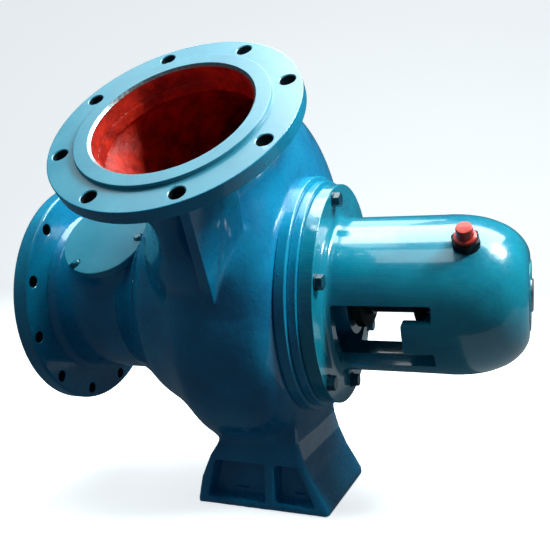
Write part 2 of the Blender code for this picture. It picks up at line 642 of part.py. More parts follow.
def make_plugs():
    """Square-headed plug in the casing's drain hole, low on the side away from the discharge."""
    place = leaning_frame(DRAIN_TILT)
    seat = spiral_radius(360.0 - 90.0 + math.degrees(DRAIN_TILT - math.pi)) + 0.0015
    half = 0.009
    head = [(-half, -half), (half, -half), (half, half), (-half, half)]
    body = prism(head, seat, seat + 0.011, "X")
    plug = add_object("casing_drain_plug", body, DARK_STEEL, 0.5, 0.6, place)
    stem = rod_mesh(seat - 0.016, seat + 0.002, DRAIN_RADIUS)
    combine(plug, add_cutter("add_plug_stem", stem, place), "UNION")


def foot_outline():
    """Front view of the foot in X and height: flared sides under the round casing."""
    right = [
        (FOOT_RIGHT, 0.0), (FOOT_RIGHT, 0.010), (0.136, 0.027), (0.121, 0.051), (0.108, 0.079),
        (0.100, 0.105), (0.096, 0.150)]
    left = [(-0.014, 0.150), (-0.023, 0.104), (-0.042, 0.075), (-0.057, 0.040), (FOOT_LEFT, 0.003),
            (FOOT_LEFT, 0.0)]
    return right + left


def make_foot():
    foot = add_object("casing_foot", prism(foot_outline(), FOOT_NEAR, FOOT_FAR), BLUE)
    saddle_section = [(CASING_FRONT, 0.02), *casing_section(2.0 * GAP), (CASING_BACK, 0.02)]
    saddle = spiral_mesh(saddle_section, SPIRAL_BASE)
    combine(foot, add_cutter("cut_saddle", saddle, shaft_frame()), "DIFFERENCE")
    low = FOOT_BASE_THICK
    high = FOOT_LEDGE
    left_pocket = [(-0.046, low), (FOOT_RIB[0], low), (FOOT_RIB[0], high), (-0.032, high)]
    right_pocket = [(FOOT_RIB[1], low), (0.124, low), (0.112, 0.042), (0.099, high), (FOOT_RIB[1], high)]
    for index, reach in enumerate(((-0.12, FOOT_WEB[0]), (FOOT_WEB[1], 0.14))):
        for label, outline in (("left", left_pocket), ("right", right_pocket)):
            pocket = prism(outline, reach[0], reach[1])
            combine(foot, add_cutter("cut_pocket_%s_%d" % (label, index), pocket), "DIFFERENCE")
    holes = []
    for x in ANCHOR_HOLE_X:
        for y in ANCHOR_HOLE_Y:
            circle = []
            for step in range(SMALL_ROUND):
                angle = 2.0 * math.pi * step / SMALL_ROUND
                reach = ANCHOR_HOLE_RADIUS
                circle.append((x + reach * math.cos(angle), y + reach * math.sin(angle)))
            holes.append(prism(circle, -0.01, low + 0.01, "Z"))
    combine(foot, add_cutter("cut_anchor_holes", join_meshes(holes)), "DIFFERENCE")


def main():
    clear_scene()
    make_casing()
    make_discharge_neck()
    make_discharge_flange()
    make_suction()
    make_hand_hole_cover()
    make_flange_stack()
    make_bracket()
    make_oil_filler()
    make_shaft_line()
    make_gland()
    make_impeller()
    make_plugs()
    make_foot()


main()
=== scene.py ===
# Pulp pump: cast casing, flanged nozzles and bearing bracket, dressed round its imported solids.
# Metres, +Z up, +X along the shaft to the drive end, -Y the side the discharge leans to.

import math

import bmesh
import bpy
import numpy as np
from mathutils import Matrix, Vector


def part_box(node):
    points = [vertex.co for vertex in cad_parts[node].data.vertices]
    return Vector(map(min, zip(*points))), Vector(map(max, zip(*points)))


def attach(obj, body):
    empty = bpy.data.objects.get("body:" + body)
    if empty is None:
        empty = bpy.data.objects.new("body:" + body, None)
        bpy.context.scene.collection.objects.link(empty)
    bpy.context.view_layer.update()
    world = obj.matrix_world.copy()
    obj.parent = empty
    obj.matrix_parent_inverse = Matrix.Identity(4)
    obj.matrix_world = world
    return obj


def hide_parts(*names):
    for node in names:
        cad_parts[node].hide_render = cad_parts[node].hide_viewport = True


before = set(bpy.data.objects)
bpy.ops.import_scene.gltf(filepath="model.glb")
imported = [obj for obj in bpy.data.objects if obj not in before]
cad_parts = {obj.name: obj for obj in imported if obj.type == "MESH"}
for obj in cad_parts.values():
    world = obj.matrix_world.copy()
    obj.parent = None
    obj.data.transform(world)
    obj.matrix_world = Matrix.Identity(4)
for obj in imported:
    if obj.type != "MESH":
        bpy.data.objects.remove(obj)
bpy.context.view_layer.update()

pump = {
    "shaftHeight": 0.318,
    "dischargeTilt": math.radians(45),
    "handHoleTilt": math.radians(51),
    "oilFillerTilt": math.radians(48),
    "handHoleX": -0.192,
    "oilFillerX": 0.340,
}


# Placing: a frame is an origin and three axes (along, side, up) in right-handed order

def shaftPlace():
    return np.array([0.0, 0.0, pump["shaftHeight"]]), np.eye(3)


def leaningPlace(tilt, x=0.0):
    along = [0.0, -math.sin(tilt), math.cos(tilt)]   # up and out towards -Y
    across = [0.0, math.cos(tilt), math.sin(tilt)]
    return np.array([x, 0.0, pump["shaftHeight"]]), np.array([along, [1.0, 0.0, 0.0], across])


def placed(points, place):
    origin, axes = place
    return points @ axes + origin


# Outlines: arrays of (along, out) points

def roundedOutline(corners, steps=4, closed=True):
    # each corner (along, out, radius) becomes a parabola between its two tangent points,
    # with one more point a little way down each straight, so that the flats stay flat when shaded
    corners = np.array(corners, float)
    here = corners[:, :2]
    radius = corners[:, 2]
    before = np.roll(here, 1, 0) - here
    after = np.roll(here, -1, 0) - here
    lengthBefore = np.linalg.norm(before, axis=1) + 1e-12
    lengthAfter = np.linalg.norm(after, axis=1) + 1e-12
    toBefore = before / lengthBefore[:, None]
    toAfter = after / lengthAfter[:, None]
    cosine = np.clip((toBefore * toAfter).sum(1), -0.999, 0.999)
    tangent = radius / np.tan(0.5 * np.arccos(cosine))
    tangent = np.minimum(tangent, 0.42 * np.minimum(lengthBefore, lengthAfter))[:, None]
    start = here + toBefore * tangent
    end = here + toAfter * tangent
    t = np.linspace(0, 1, steps + 1)[None, :, None]
    bend = (1 - t) ** 2 * start[:, None] + 2 * t * (1 - t) * here[:, None] + t * t * end[:, None]
    spare = np.minimum(0.12 * tangent + 0.00015, 0.07 * np.minimum(lengthBefore, lengthAfter)[:, None])
    lead = start + toBefore * spare
    trail = end + toAfter * spare
    rows = np.concatenate([lead[:, None], bend, trail[:, None]], 1)
    if not closed:   # the first and last corners lie on the axis and stay as they are
        rows[0] = here[0]
        rows[-1] = here[-1]
    points = rows.reshape(-1, 2)
    keep = np.r_[True, np.linalg.norm(np.diff(points, axis=0), axis=1) > 1e-7]
    return points[keep]


def smoothCurve(points, perSpan=6):
    # Catmull-Rom curve through the points: each span blends its two ends and their neighbours' slopes
    p = np.array(points, float)
    padded = np.vstack([2 * p[0] - p[1], p, 2 * p[-1] - p[-2]])
    a, b, c, d = (padded[i:len(padded) - 3 + i, None] for i in range(4))
    t = np.linspace(0, 1, perSpan, endpoint=False)[None, :, None]
    curve = 0.5 * (
        2 * b + (c - a) * t + (2 * a - 5 * b + 4 * c - d) * t ** 2 + (3 * b - a - 3 * c + d) * t ** 3)
    return np.vstack([curve.reshape(-1, p.shape[1]), p[-1]])


def outlineArea(outline):
    x, y = outline.T
    return 0.5 * np.sum(x * np.roll(y, -1) - np.roll(x, -1) * y)


# Meshes from grids

def gridFaces(rows, columns, closeRows, closeColumns):
    i = np.arange(rows if closeRows else rows - 1)
    j = np.arange(columns if closeColumns else columns - 1)
    i, j = (k.ravel() for k in np.meshgrid(i, j, indexing="ij"))
    nextRow = (i + 1) % rows * columns
    nextColumn = (j + 1) % columns
    return np.stack([i * columns + j, i * columns + nextColumn, nextRow + nextColumn, nextRow + j], 1)


def meshObject(name, points, faces, finish=None, sharp=32):
    mesh = bpy.data.meshes.new(name)
    mesh.from_pydata(points.tolist(), [], faces if isinstance(faces, list) else faces.tolist())
    mesh.validate()
    mesh.shade_smooth()
    mesh.set_sharp_from_angle(angle=math.radians(sharp))
    if finish:
        mesh.materials.append(finish)
    piece = bpy.data.objects.new(name, mesh)
    bpy.context.scene.collection.objects.link(piece)
    return piece


def turned(name, outline, place, finish=None, sides=160, closed=True):
    # surface of revolution: (along, out) -> (along, out cos angle, out sin angle)
    outline = np.array(outline, float)
    if outlineArea(outline) > 0:
        outline = outline[::-1]
    angle = np.linspace(0, 2 * np.pi, sides, endpoint=False)
    along, out = outline.T
    ring = np.stack([
        np.repeat(along[:, None], sides, 1),
        out[:, None] * np.cos(angle),
        out[:, None] * np.sin(angle)], -1)
    faces = gridFaces(len(outline), sides, closed, True)
    piece = meshObject(name, placed(ring.reshape(-1, 3), place), faces, finish)
    if not closed:
        mergeClose(piece)
    return piece


def mergeClose(piece, distance=1e-6):
    work = bmesh.new()
    work.from_mesh(piece.data)
    bmesh.ops.remove_doubles(work, verts=work.verts, dist=distance)
    bmesh.ops.dissolve_degenerate(work, edges=work.edges, dist=distance)
    work.to_mesh(piece.data)
    work.free()


def extruded(name, outline, levels, place, finish=None):
    # outline (side, up) carried along the frame's first axis through the levels, with flat ends
    outline = np.array(outline, float)
    if outlineArea(outline) < 0:
        outline = outline[::-1]
    count = len(outline)
    grid = np.stack([np.column_stack([np.full(count, level), outline]) for level in levels])
    faces = gridFaces(len(levels), count, False, True)[:, ::-1].tolist()
    faces.append(list(range(count))[::-1])
    faces.append(list(range(count * (len(levels) - 1), count * len(levels))))
    faces = [face[::-1] for face in faces]
    piece = meshObject(name, placed(grid.reshape(-1, 3), place), faces, finish)
    faceOutwards(piece)
    return piece


def faceOutwards(piece):
    work = bmesh.new()
    work.from_mesh(piece.data)
    bmesh.ops.recalc_face_normals(work, faces=work.faces)
    work.to_mesh(piece.data)
    work.free()


def joined(name, pieces):
    base = pieces[0]
    with bpy.context.temp_override(active_object=base, selected_editable_objects=pieces):
        bpy.ops.object.join()
    base.name = name
    base.data.name = name
    return base


def combined(piece, other, operation="DIFFERENCE", sharp=32):
    # exact Boolean with the other mesh, applied, after which the other is removed
    step = piece.modifiers.new("cut", "BOOLEAN")
    step.operation = operation
    step.solver = "EXACT"
    step.object = other
    applyModifiers(piece)
    bpy.data.objects.remove(other)
    piece.data.shade_smooth()
    piece.data.set_sharp_from_angle(angle=math.radians(sharp))
    return piece


def applyModifiers(piece):
    bpy.context.view_layer.update()
    graph = bpy.context.evaluated_depsgraph_get()
    made = bpy.data.meshes.new_from_object(piece.evaluated_get(graph))
    old = piece.data
    piece.modifiers.clear()
    piece.data = made
    made.name = piece.name
    bpy.data.meshes.remove(old)


def holeCutter(low, high, radius, lip, place, centre=(0.0, 0.0), sides=32):
    # drill with a flared lip at both faces, which leaves a small chamfer round each hole
    reach = 0.01
    flare = radius + lip + reach
    outline = np.array([
        [low - reach, 0], [low - reach, flare], [low, radius + lip], [low + lip, radius],
        [high - lip, radius], [high, radius + lip], [high + reach, flare], [high + reach, 0]])
    origin, axes = place
    moved = origin + np.array([0.0, *centre]) @ axes
    return turned("drill", outline, (moved, axes), sides=sides, closed=False)


def drilled(piece, low, high, radius, lip, place, centres, sides=32):
    cutters = [holeCutter(low, high, radius, lip, place, centre, sides) for centre in centres]
    return combined(piece, joined("drills", cutters) if len(cutters) > 1 else cutters[0])


def circleCentres(radius, count, phase):
    angle = phase + 2 * np.pi * np.arange(count) / count
    return np.column_stack([radius * np.cos(angle), radius * np.sin(angle)])


def finished(piece, slot, *nodes):
    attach(piece, "root")
    if nodes:
        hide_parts(*nodes)
    return piece


# Materials

def linear(code, alpha=1.0):
    # sRGB hex to linear light
    values = [int(code[i:i + 2], 16) / 255 for i in (1, 3, 5)]
    return (*[v / 12.92 if v <= 0.04045 else ((v + 0.055) / 1.055) ** 2.4 for v in values], alpha)


def addNode(tree, kind, inputs=None, **settings):
    # adds a node, sets its properties, and sets each input or links it to a node or an output
    node = tree.nodes.new(kind)
    for key, value in settings.items():
        setattr(node, key, value)
    for key, value in (inputs or {}).items():
        if isinstance(value, bpy.types.Node):
            value = next(output for output in value.outputs if output.enabled)
        if isinstance(value, bpy.types.NodeSocket):
            tree.links.new(value, node.inputs[key])
        else:
            node.inputs[key].default_value = value
    return node


def startFinish(name):
    finish = bpy.data.materials.new(name)
    finish.use_nodes = True
    tree = finish.node_tree
    where = addNode(tree, "ShaderNodeTexCoord").outputs["Object"]
    return finish, tree, where


def endFinish(tree, links, **values):
    # links patterns to the shader's inputs, and sets its plain numbers on its own sockets
    shader = tree.nodes["Principled BSDF"]
    for key, node in links.items():
        tree.links.new(next(output for output in node.outputs if output.enabled), shader.inputs[key])
    for key, value in values.items():
        shader.inputs[key.replace("_", " ")].default_value = value


enamel = {
    "cloud": 0.090, "sand": 0.008, "lump": 0.034, "peel": 0.0024, "pimple": 0.016, "brush": 0.0022,
    "coat": 0.9, "coatRoughness": 0.07, "coatIor": 1.6,
}


def brushedEnamel(name, deep, full, thin, gloss, grain, pimples, strokes, stretch):
    # oil enamel brushed over cast iron: deep glossy colour that wavers with the coat's thickness, soft
    # lumps from the sand mould, brush strokes and small pimples that break up the reflections
    finish, tree, where = startFinish(name)
    cloud = addNode(tree, "ShaderNodeTexNoise", {
        "Vector": where, "Scale": 1 / enamel["cloud"], "Detail": 4.0, "Roughness": 0.55})
    share = addNode(tree, "ShaderNodeMapRange", {"Value": cloud, "From Min": 0.36, "From Max": 0.64})
    colour = addNode(tree, "ShaderNodeMix", {
        "Factor": share, 6: linear(deep), 7: linear(full)}, data_type="RGBA")
    along = addNode(tree, "ShaderNodeMapping", {"Vector": where, "Scale": stretch})
    brush = addNode(tree, "ShaderNodeTexNoise", {
        "Vector": along, "Scale": 1 / enamel["brush"], "Detail": 3.0, "Roughness": 0.6})
    streak = addNode(tree, "ShaderNodeMapRange", {
        "Value": brush, "From Min": 0.42, "From Max": 0.72, "To Max": 0.30 * strokes})
    colour = addNode(tree, "ShaderNodeMix", {"Factor": streak, 6: colour, 7: linear(thin)}, data_type="RGBA")
    sand = addNode(tree, "ShaderNodeTexNoise", {
        "Vector": where, "Scale": 1 / enamel["sand"], "Detail": 4.0, "Roughness": 0.55})
    lump = addNode(tree, "ShaderNodeTexNoise", {"Vector": where, "Scale": 1 / enamel["lump"], "Detail": 2.0})
    peel = addNode(tree, "ShaderNodeTexNoise", {"Vector": where, "Scale": 1 / enamel["peel"], "Detail": 1.0})
    cells = addNode(tree, "ShaderNodeTexVoronoi", {"Vector": where, "Scale": 1 / enamel["pimple"]})
    dome = addNode(tree, "ShaderNodeMapRange", {
        "Value": cells.outputs["Distance"], "From Min": 0.02, "From Max": 0.16, "To Min": 1.0, "To Max": 0.0},
        interpolation_type="SMOOTHSTEP")
    normal = addNode(tree, "ShaderNodeBump", {"Height": lump, "Distance": 0.0020 * grain, "Strength": 0.6})
    normal = addNode(tree, "ShaderNodeBump", {
        "Height": sand, "Distance": 0.0005 * grain, "Strength": 0.7, "Normal": normal})
    normal = addNode(tree, "ShaderNodeBump", {
        "Height": dome, "Distance": 0.0007, "Strength": pimples, "Normal": normal})
    normal = addNode(tree, "ShaderNodeBump", {
        "Height": brush, "Distance": 0.00010, "Strength": strokes, "Normal": normal})
    normal = addNode(tree, "ShaderNodeBump", {
        "Height": peel, "Distance": 0.00005, "Strength": 0.5, "Normal": normal})
    rough = addNode(tree, "ShaderNodeMapRange", {
        "Value": sand, "From Min": 0.3, "From Max": 0.7, "To Min": gloss, "To Max": gloss + 0.12})
    endFinish(tree, {"Base Color": colour, "Normal": normal, "Roughness": rough},
              Coat_Weight=enamel["coat"], Coat_Roughness=enamel["coatRoughness"], Coat_IOR=enamel["coatIor"])
    return finish


def turnedEnamel(name, tilt, x, deep, full, thin):
    # lathe-turned face under one thin coat: a paler, satin blue that keeps the tool's rings and takes a broad
    # sheen from the light;
    # the paleness is partly the thin coat and partly painted light, standing in for the sky's sheen on these
    # upward faces
    finish, tree, where = startFinish(name)
    turn = Matrix.Rotation(-tilt, 3, "X")
    shift = -(turn @ Vector((x, 0.0, pump["shaftHeight"])))
    onAxis = addNode(tree, "ShaderNodeMapping", {
        "Vector": where, "Rotation": turn.to_euler(), "Location": shift})
    rings = addNode(tree, "ShaderNodeTexWave", {
        "Vector": onAxis, "Scale": 130.0, "Distortion": 0.8, "Detail": 1.0},
        wave_type="RINGS", rings_direction="Z")
    cloud = addNode(tree, "ShaderNodeTexNoise", {
        "Vector": where, "Scale": 1 / 0.06, "Detail": 5.0, "Roughness": 0.55})
    share = addNode(tree, "ShaderNodeMapRange", {"Value": cloud, "From Min": 0.3, "From Max": 0.7})
    colour = addNode(tree, "ShaderNodeMix", {
        "Factor": share, 6: linear(deep), 7: linear(full)}, data_type="RGBA")
    speck = addNode(tree, "ShaderNodeTexNoise", {
        "Vector": where, "Scale": 1 / 0.004, "Detail": 5.0, "Roughness": 0.65})
    worn = addNode(tree, "ShaderNodeMapRange", {
        "Value": speck, "From Min": 0.58, "From Max": 0.75, "To Max": 0.35})
    colour = addNode(tree, "ShaderNodeMix", {"Factor": worn, 6: colour, 7: linear(thin)}, data_type="RGBA")
    normal = addNode(tree, "ShaderNodeBump", {"Height": rings, "Distance": 0.00003, "Strength": 0.5})
    normal = addNode(tree, "ShaderNodeBump", {
        "Height": speck, "Distance": 0.00012, "Strength": 0.6, "Normal": normal})
    rough = addNode(tree, "ShaderNodeMapRange", {
        "Value": cloud, "From Min": 0.3, "From Max": 0.7, "To Min": 0.30, "To Max": 0.42})
    endFinish(tree, {"Base Color": colour, "Normal": normal, "Roughness": rough},
              Coat_Weight=0.65, Coat_Roughness=0.30, Coat_IOR=1.6)
    return finish


def redPrimer(name):
    # red oxide primer brushed thickly inside the casing: dull orange red with glossy high spots, darker
    # where it was drawn thin over the iron
    finish, tree, where = startFinish(name)
    coat = addNode(tree, "ShaderNodeTexNoise", {
        "Vector": where, "Scale": 1 / 0.030, "Detail": 6.0, "Roughness": 0.65})
    share = addNode(tree, "ShaderNodeMapRange", {"Value": coat, "From Min": 0.38, "From Max": 0.62})
    colour = addNode(tree, "ShaderNodeMix", {
        "Factor": share, 6: linear("#92180e"), 7: linear("#d8301c")}, data_type="RGBA")
    grit = addNode(tree, "ShaderNodeTexNoise", {
        "Vector": where, "Scale": 1 / 0.0045, "Detail": 4.0, "Roughness": 0.6})
    normal = addNode(tree, "ShaderNodeBump", {"Height": coat, "Distance": 0.0020, "Strength": 0.7})
    normal = addNode(tree, "ShaderNodeBump", {
        "Height": grit, "Distance": 0.0006, "Strength": 0.8, "Normal": normal})
    rough = addNode(tree, "ShaderNodeMapRange", {
        "Value": grit, "From Min": 0.35, "From Max": 0.65, "To Min": 0.30, "To Max": 0.55})
    endFinish(tree, {"Base Color": colour, "Normal": normal, "Roughness": rough})
    return finish


def mottledFinish(name, low, high, roughness, metallic, grainSize, depth, coat=0.0):
    # plain part of one colour with the mottle and the fine grain of its own surface
    finish, tree, where = startFinish(name)
    grain = addNode(tree, "ShaderNodeTexNoise", {
        "Vector": where, "Scale": 1 / grainSize, "Detail": 5.0, "Roughness": 0.6})
    share = addNode(tree, "ShaderNodeMapRange", {"Value": grain, "From Min": 0.3, "From Max": 0.7})
    colour = addNode(tree, "ShaderNodeMix", {
        "Factor": share, 6: linear(low), 7: linear(high)}, data_type="RGBA")
    normal = addNode(tree, "ShaderNodeBump", {"Height": grain, "Distance": depth, "Strength": 0.8})
    rough = addNode(tree, "ShaderNodeMapRange", {
        "Value": grain, "From Min": 0.3, "From Max": 0.7, "To Min": roughness, "To Max": roughness + 0.15})
    endFinish(tree, {"Base Color": colour, "Normal": normal, "Roughness": rough},
              Metallic=metallic, Coat_Weight=coat)
    return finish


def makeFinishes():
    # how brush strokes are drawn out: less than 1 along an axis makes them longer that way
    upright = (1.0, 1.0, 0.25)
    axial = (0.05, 1.0, 1.0)
    across = (1.0, 1.0, 1.0)
    return {
        "enamel": brushedEnamel(
            "blue_enamel_on_casting", "#047aab", "#0699c9", "#38abd2", 0.24, 1.0, 0.35, 0.35, upright),
        "smoothEnamel": brushedEnamel(
            "blue_enamel_on_bracket", "#08839f", "#0c9cb5", "#48b2c6", 0.17, 0.30, 0.12, 0.9, axial),
        "ringEnamel": brushedEnamel(
            "blue_enamel_on_rings", "#0688b2", "#0aa6cd", "#43b8da", 0.24, 0.35, 0.6, 0.4, across),
        # pale blues of the discharge face and lid: thin paint, made lighter still as painted light and sheen
        "dischargeFaceWithSheen": turnedEnamel(
            "thin_enamel_and_painted_sheen_on_discharge_face", pump["dischargeTilt"], 0.0, "#258aa7", "#3c9eb6", "#76bac8"),
        "lidEnamelWithLight": turnedEnamel(
            "thin_enamel_and_painted_light_on_lid", pump["handHoleTilt"], pump["handHoleX"], "#259dbd", "#3fb1cb", "#86c9d6"),
        "primer": redPrimer("red_oxide_primer"),
        # bolt hole walls: near-black iron, partly bare iron and partly painted shade for the dark inside of
        # the holes
        "holeIronShade": mottledFinish("dark_iron_and_painted_shade_in_bolt_holes", "#05090b", "#10181c", 0.5, 0.2, 0.004, 0.0002),
        "paintedBolt": mottledFinish(
            "dark_paint_on_bolts", "#0a2733", "#155a72", 0.28, 0.0, 0.006, 0.0002, 0.5),
        "bareSteel": mottledFinish("turned_bare_steel", "#8f9498", "#c3c7c9", 0.28, 1.0, 0.003, 0.00003),
        "boltIron": mottledFinish("blackened_bolt_steel", "#101417", "#262c31", 0.38, 0.6, 0.003, 0.0002),
        "castIron": mottledFinish("dark_cast_iron", "#232526", "#3b3833", 0.6, 0.4, 0.004, 0.0004),
        "redCap": mottledFinish("moulded_red_plastic", "#c4261b", "#dd3d2b", 0.28, 0.0, 0.006, 0.00003, 0.3),
        "rubber": mottledFinish("black_rubber", "#131313", "#202020", 0.7, 0.0, 0.003, 0.00005),
    }


# Camera, floor and light

def makeCamera():
    view = {"place": (0.4386, -1.0285, 0.4188), "focalPixels": 702.84, "framePixels": 550}
    right = (0.93261, 0.36002, -0.02490)
    up = (-0.00071, 0.07083, 0.99749)
    back = (0.36088, -0.93025, 0.06632)
    data = bpy.data.cameras.new("camera")
    data.lens = data.sensor_width * view["focalPixels"] / view["framePixels"]
    camera = bpy.data.objects.new("camera", data)
    camera.matrix_world = Matrix.Translation(view["place"]) @ Matrix((right, up, back)).transposed().to_4x4()
    bpy.context.scene.collection.objects.link(camera)
    bpy.context.scene.camera = camera


studio = {
    "light": "#f4ffff", "floor": "#e7eaeb", "glow": 0.90, "world": "#a8cfe8", "worldStrength": 0.10,
    "near": -4.0, "reach": 3.4, "bend": 0.9, "wallTop": 4.2, "halfWidth": 6.0,
}
softboxes = {   # place, what it faces, width, depth, power, whether it shows in reflections
    "overhead": ((0.45, 0.40, 2.40), (0.05, 0.05, 0.35), 2.2, 1.5, 68.0, True),
    "key": ((1.75, -0.10, 2.15), (0.05, 0.00, 0.33), 0.6, 0.6, 62.0, True),
    "left_sky": ((-0.85, -0.05, 2.60), (0.05, 0.00, 0.33), 1.3, 1.3, 11.0, True),
    "left_window": ((-1.90, -0.50, 1.40), (0.05, 0.00, 0.33), 0.9, 0.9, 3.5, False),
    "front_sky": ((-0.15, -1.25, 2.45), (0.05, 0.00, 0.33), 0.9, 0.9, 6.0, True),
    "rear_sky": ((-0.70, 1.50, 2.10), (0.00, 0.00, 0.35), 1.2, 0.9, 8.0, True),
    "ground_sheen": ((1.10, 1.05, 0.01), (1.10, 1.05, 1.00), 1.5, 2.7, 2.5, True),
}


def makeStudio():
    # a floor that curves up into a wall behind: a flat, a quarter turn and a straight, carried sideways.
    # It glows a little and casts no light back, so it stays pale while the pump's underside stays dark.
    angle = np.linspace(0, np.pi / 2, 13)
    curve = studio["reach"] + studio["bend"] * np.sin(angle)
    y = np.r_[studio["near"], curve, studio["reach"] + studio["bend"]]
    z = np.r_[0.0, studio["bend"] * (1 - np.cos(angle)), studio["wallTop"]]
    x = np.linspace(-studio["halfWidth"], studio["halfWidth"], 3)
    grid = np.stack([np.repeat(x[:, None], len(y), 1), np.tile(y, (3, 1)), np.tile(z, (3, 1))], -1)
    finish, tree, where = startFinish("pale_floor")
    endFinish(tree, {}, Base_Color=linear(studio["floor"]), Roughness=0.9,
              Emission_Color=linear(studio["floor"]), Emission_Strength=studio["glow"])
    floor = meshObject("studio_floor", grid.reshape(-1, 3), gridFaces(3, len(y), False, False), finish, 60)
    floor.visible_diffuse = False
    floor.visible_glossy = False
    world = bpy.data.worlds.new("studio")
    world.use_nodes = True
    world.node_tree.nodes["Background"].inputs["Color"].default_value = linear(studio["world"])
    world.node_tree.nodes["Background"].inputs["Strength"].default_value = studio["worldStrength"]
    bpy.context.scene.world = world
    bpy.context.scene.view_settings.view_transform = "Standard"
    for name, values in softboxes.items():
        addLight(name, *values)


def addLight(name, place, target, width, depth, power, mirrored):
    data = bpy.data.lights.new(name, "AREA")
    data.shape = "RECTANGLE"
    data.size = width
    data.size_y = depth
    data.energy = power
    data.color = linear(studio["light"])[:3]
    light = bpy.data.objects.new(name, data)
    light.visible_camera = False
    light.visible_glossy = mirrored
    away = np.array(place, float) - np.array(target, float)
    away /= np.linalg.norm(away)
    side = np.cross([0.0, 1.0, 0.0], away)
    side /= np.linalg.norm(side)
    lift = np.cross(away, side)
    light.matrix_world = Matrix.Translation(place) @ Matrix((side, lift, away)).transposed().to_4x4()
    bpy.context.scene.collection.objects.link(light)


# The casting: spiral, neck, gusset and foot as one field of distances, so that the joints get a
# foundry's fillets. A point is inside where the field is below zero.

casting = {
    "front": -0.121, "back": 0.105, "eye": 0.112, "rearBore": 0.1502,
    "spiralBase": 0.165, "cavityBase": 0.150, "wall": 0.014,
    "tongue": 185.0, "sweep": 275.0, "spiralStart": 0.206, "spiralRise": 0.000384, "reference": 0.2385,
    "neckWall": 0.0145, "neckTop": 0.3243, "bore": 0.1084,
    "neckFillet": 0.014, "gussetFillet": 0.007, "footFillet": 0.012,
    "spacing": 0.0042,
}

section = [
    (-0.121, 0.1588), (-0.105, 0.1715), (-0.080, 0.1875), (-0.060, 0.2045), (-0.036, 0.228), (-0.018, 0.236),
    (0.0, 0.2385),
    (0.032, 0.2375), (0.058, 0.231), (0.080, 0.219), (0.095, 0.203), (0.103, 0.186), (0.105, 0.1715)]
cavitySection = [
    (-0.105, 0.150), (-0.1045, 0.153), (-0.090, 0.1655), (-0.072, 0.178), (-0.054, 0.1935), (-0.034, 0.214),
    (-0.016, 0.222), (0.0, 0.2245),
    (0.030, 0.2235), (0.053, 0.217), (0.073, 0.206), (0.086, 0.192), (0.092, 0.175), (0.093, 0.150)]
neckStations = smoothCurve([   # height, half width, reach to +Y and to -Y, superellipse's power, taper to -Y
    (0.060, 0.0980, 0.165, 0.1100, 2.60, 0.0), (0.130, 0.1020, 0.185, 0.1280, 2.50, 0.0),
    (0.180, 0.1040, 0.198, 0.1400, 2.40, 0.10), (0.225, 0.1040, 0.196, 0.1340, 2.30, 0.52),
    (0.255, 0.1080, 0.180, 0.1250, 2.20, 0.60), (0.275, 0.1150, 0.166, 0.1220, 2.10, 0.46),
    (0.290, 0.1215, 0.152, 0.1245, 2.05, 0.22), (0.305, 0.1265, 0.138, 0.1275, 2.00, 0.0),
    (0.324, 0.1265, 0.1265, 0.1265, 2.00, 0.0)], 8)


def outlineTable(outline, spacing=0.001, margin=0.03):
    # signed distance to a closed outline at the points of a square grid, with its slopes
    outline = np.array(outline, float)
    low = outline.min(0) - margin
    counts = np.ceil((outline.max(0) + margin - low) / spacing).astype(int)
    a = low[0] + spacing * np.arange(counts[0])[:, None]
    b = low[1] + spacing * np.arange(counts[1])[None, :]
    nearest = np.full((counts[0], counts[1]), 1e9)
    inside = np.zeros((counts[0], counts[1]), bool)
    for p, q in zip(outline, np.roll(outline, -1, 0)):
        run = q - p
        t = np.clip(((a - p[0]) * run[0] + (b - p[1]) * run[1]) / max(run @ run, 1e-18), 0, 1)
        nearest = np.minimum(nearest, (a - p[0] - t * run[0]) ** 2 + (b - p[1] - t * run[1]) ** 2)
        if q[1] != p[1]:
            crosses = (p[1] > b) != (q[1] > b)
            inside ^= crosses & (a < p[0] + (b - p[1]) * run[0] / run[1])
    distance = np.sqrt(nearest) * np.where(inside, -1, 1)
    slopeA, slopeB = np.gradient(distance, spacing)
    return {"low": low, "spacing": spacing, "values": np.stack([distance, slopeA, slopeB], -1)}


def lookUp(table, a, b):
    # bilinear reading of a table
    values = table["values"]
    u = np.clip((a - table["low"][0]) / table["spacing"], 0, values.shape[0] - 1.001)
    v = np.clip((b - table["low"][1]) / table["spacing"], 0, values.shape[1] - 1.001)
    i, j = u.astype(int), v.astype(int)
    s, t = (u - i)[..., None], (v - j)[..., None]
    return ((1 - s) * ((1 - t) * values[i, j] + t * values[i, j + 1])
            + s * ((1 - t) * values[i + 1, j] + t * values[i + 1, j + 1]))


def smoothMin(a, b, width):
    # the lower of two fields, with a fillet of about that width where they cross
    h = np.clip(0.5 + 0.5 * (b - a) / width, 0, 1)
    return b + (a - b) * h - width * h * (1 - h)


def smoothMax(a, b, width):
    return -smoothMin(-a, -b, width)


def spiralRadius(degrees):
    # steady rise from the tongue round to the neck, then an eased return inside the neck
    turn = (degrees - casting["tongue"]) % 360
    top = casting["spiralStart"] + casting["spiralRise"] * casting["sweep"]
    part = np.clip((turn - casting["sweep"]) / (360 - casting["sweep"]), 0, 1)
    eased = casting["spiralStart"] + (top - casting["spiralStart"]) * (0.5 + 0.5 * np.cos(np.pi * part))
    return np.where(turn <= casting["sweep"], casting["spiralStart"] + casting["spiralRise"] * turn, eased)


def spiralField(x, y, z, table, base, shrink):
    # the section's field, with its part beyond the base radius stretched to the spiral's radius
    out = np.hypot(y, z)
    degrees = np.degrees(np.arctan2(z, y))
    growth = (spiralRadius(degrees) - shrink - base) / (casting["reference"] - shrink - base)
    flat = np.where(out > base, base + (out - base) / growth, out)
    distance, slopeX, slopeOut = np.moveaxis(lookUp(table, x, flat), -1, 0)
    stretch = np.where(out > base, 1 / growth, 1.0)
    return distance / np.maximum(np.hypot(slopeX, slopeOut * stretch), 0.35)


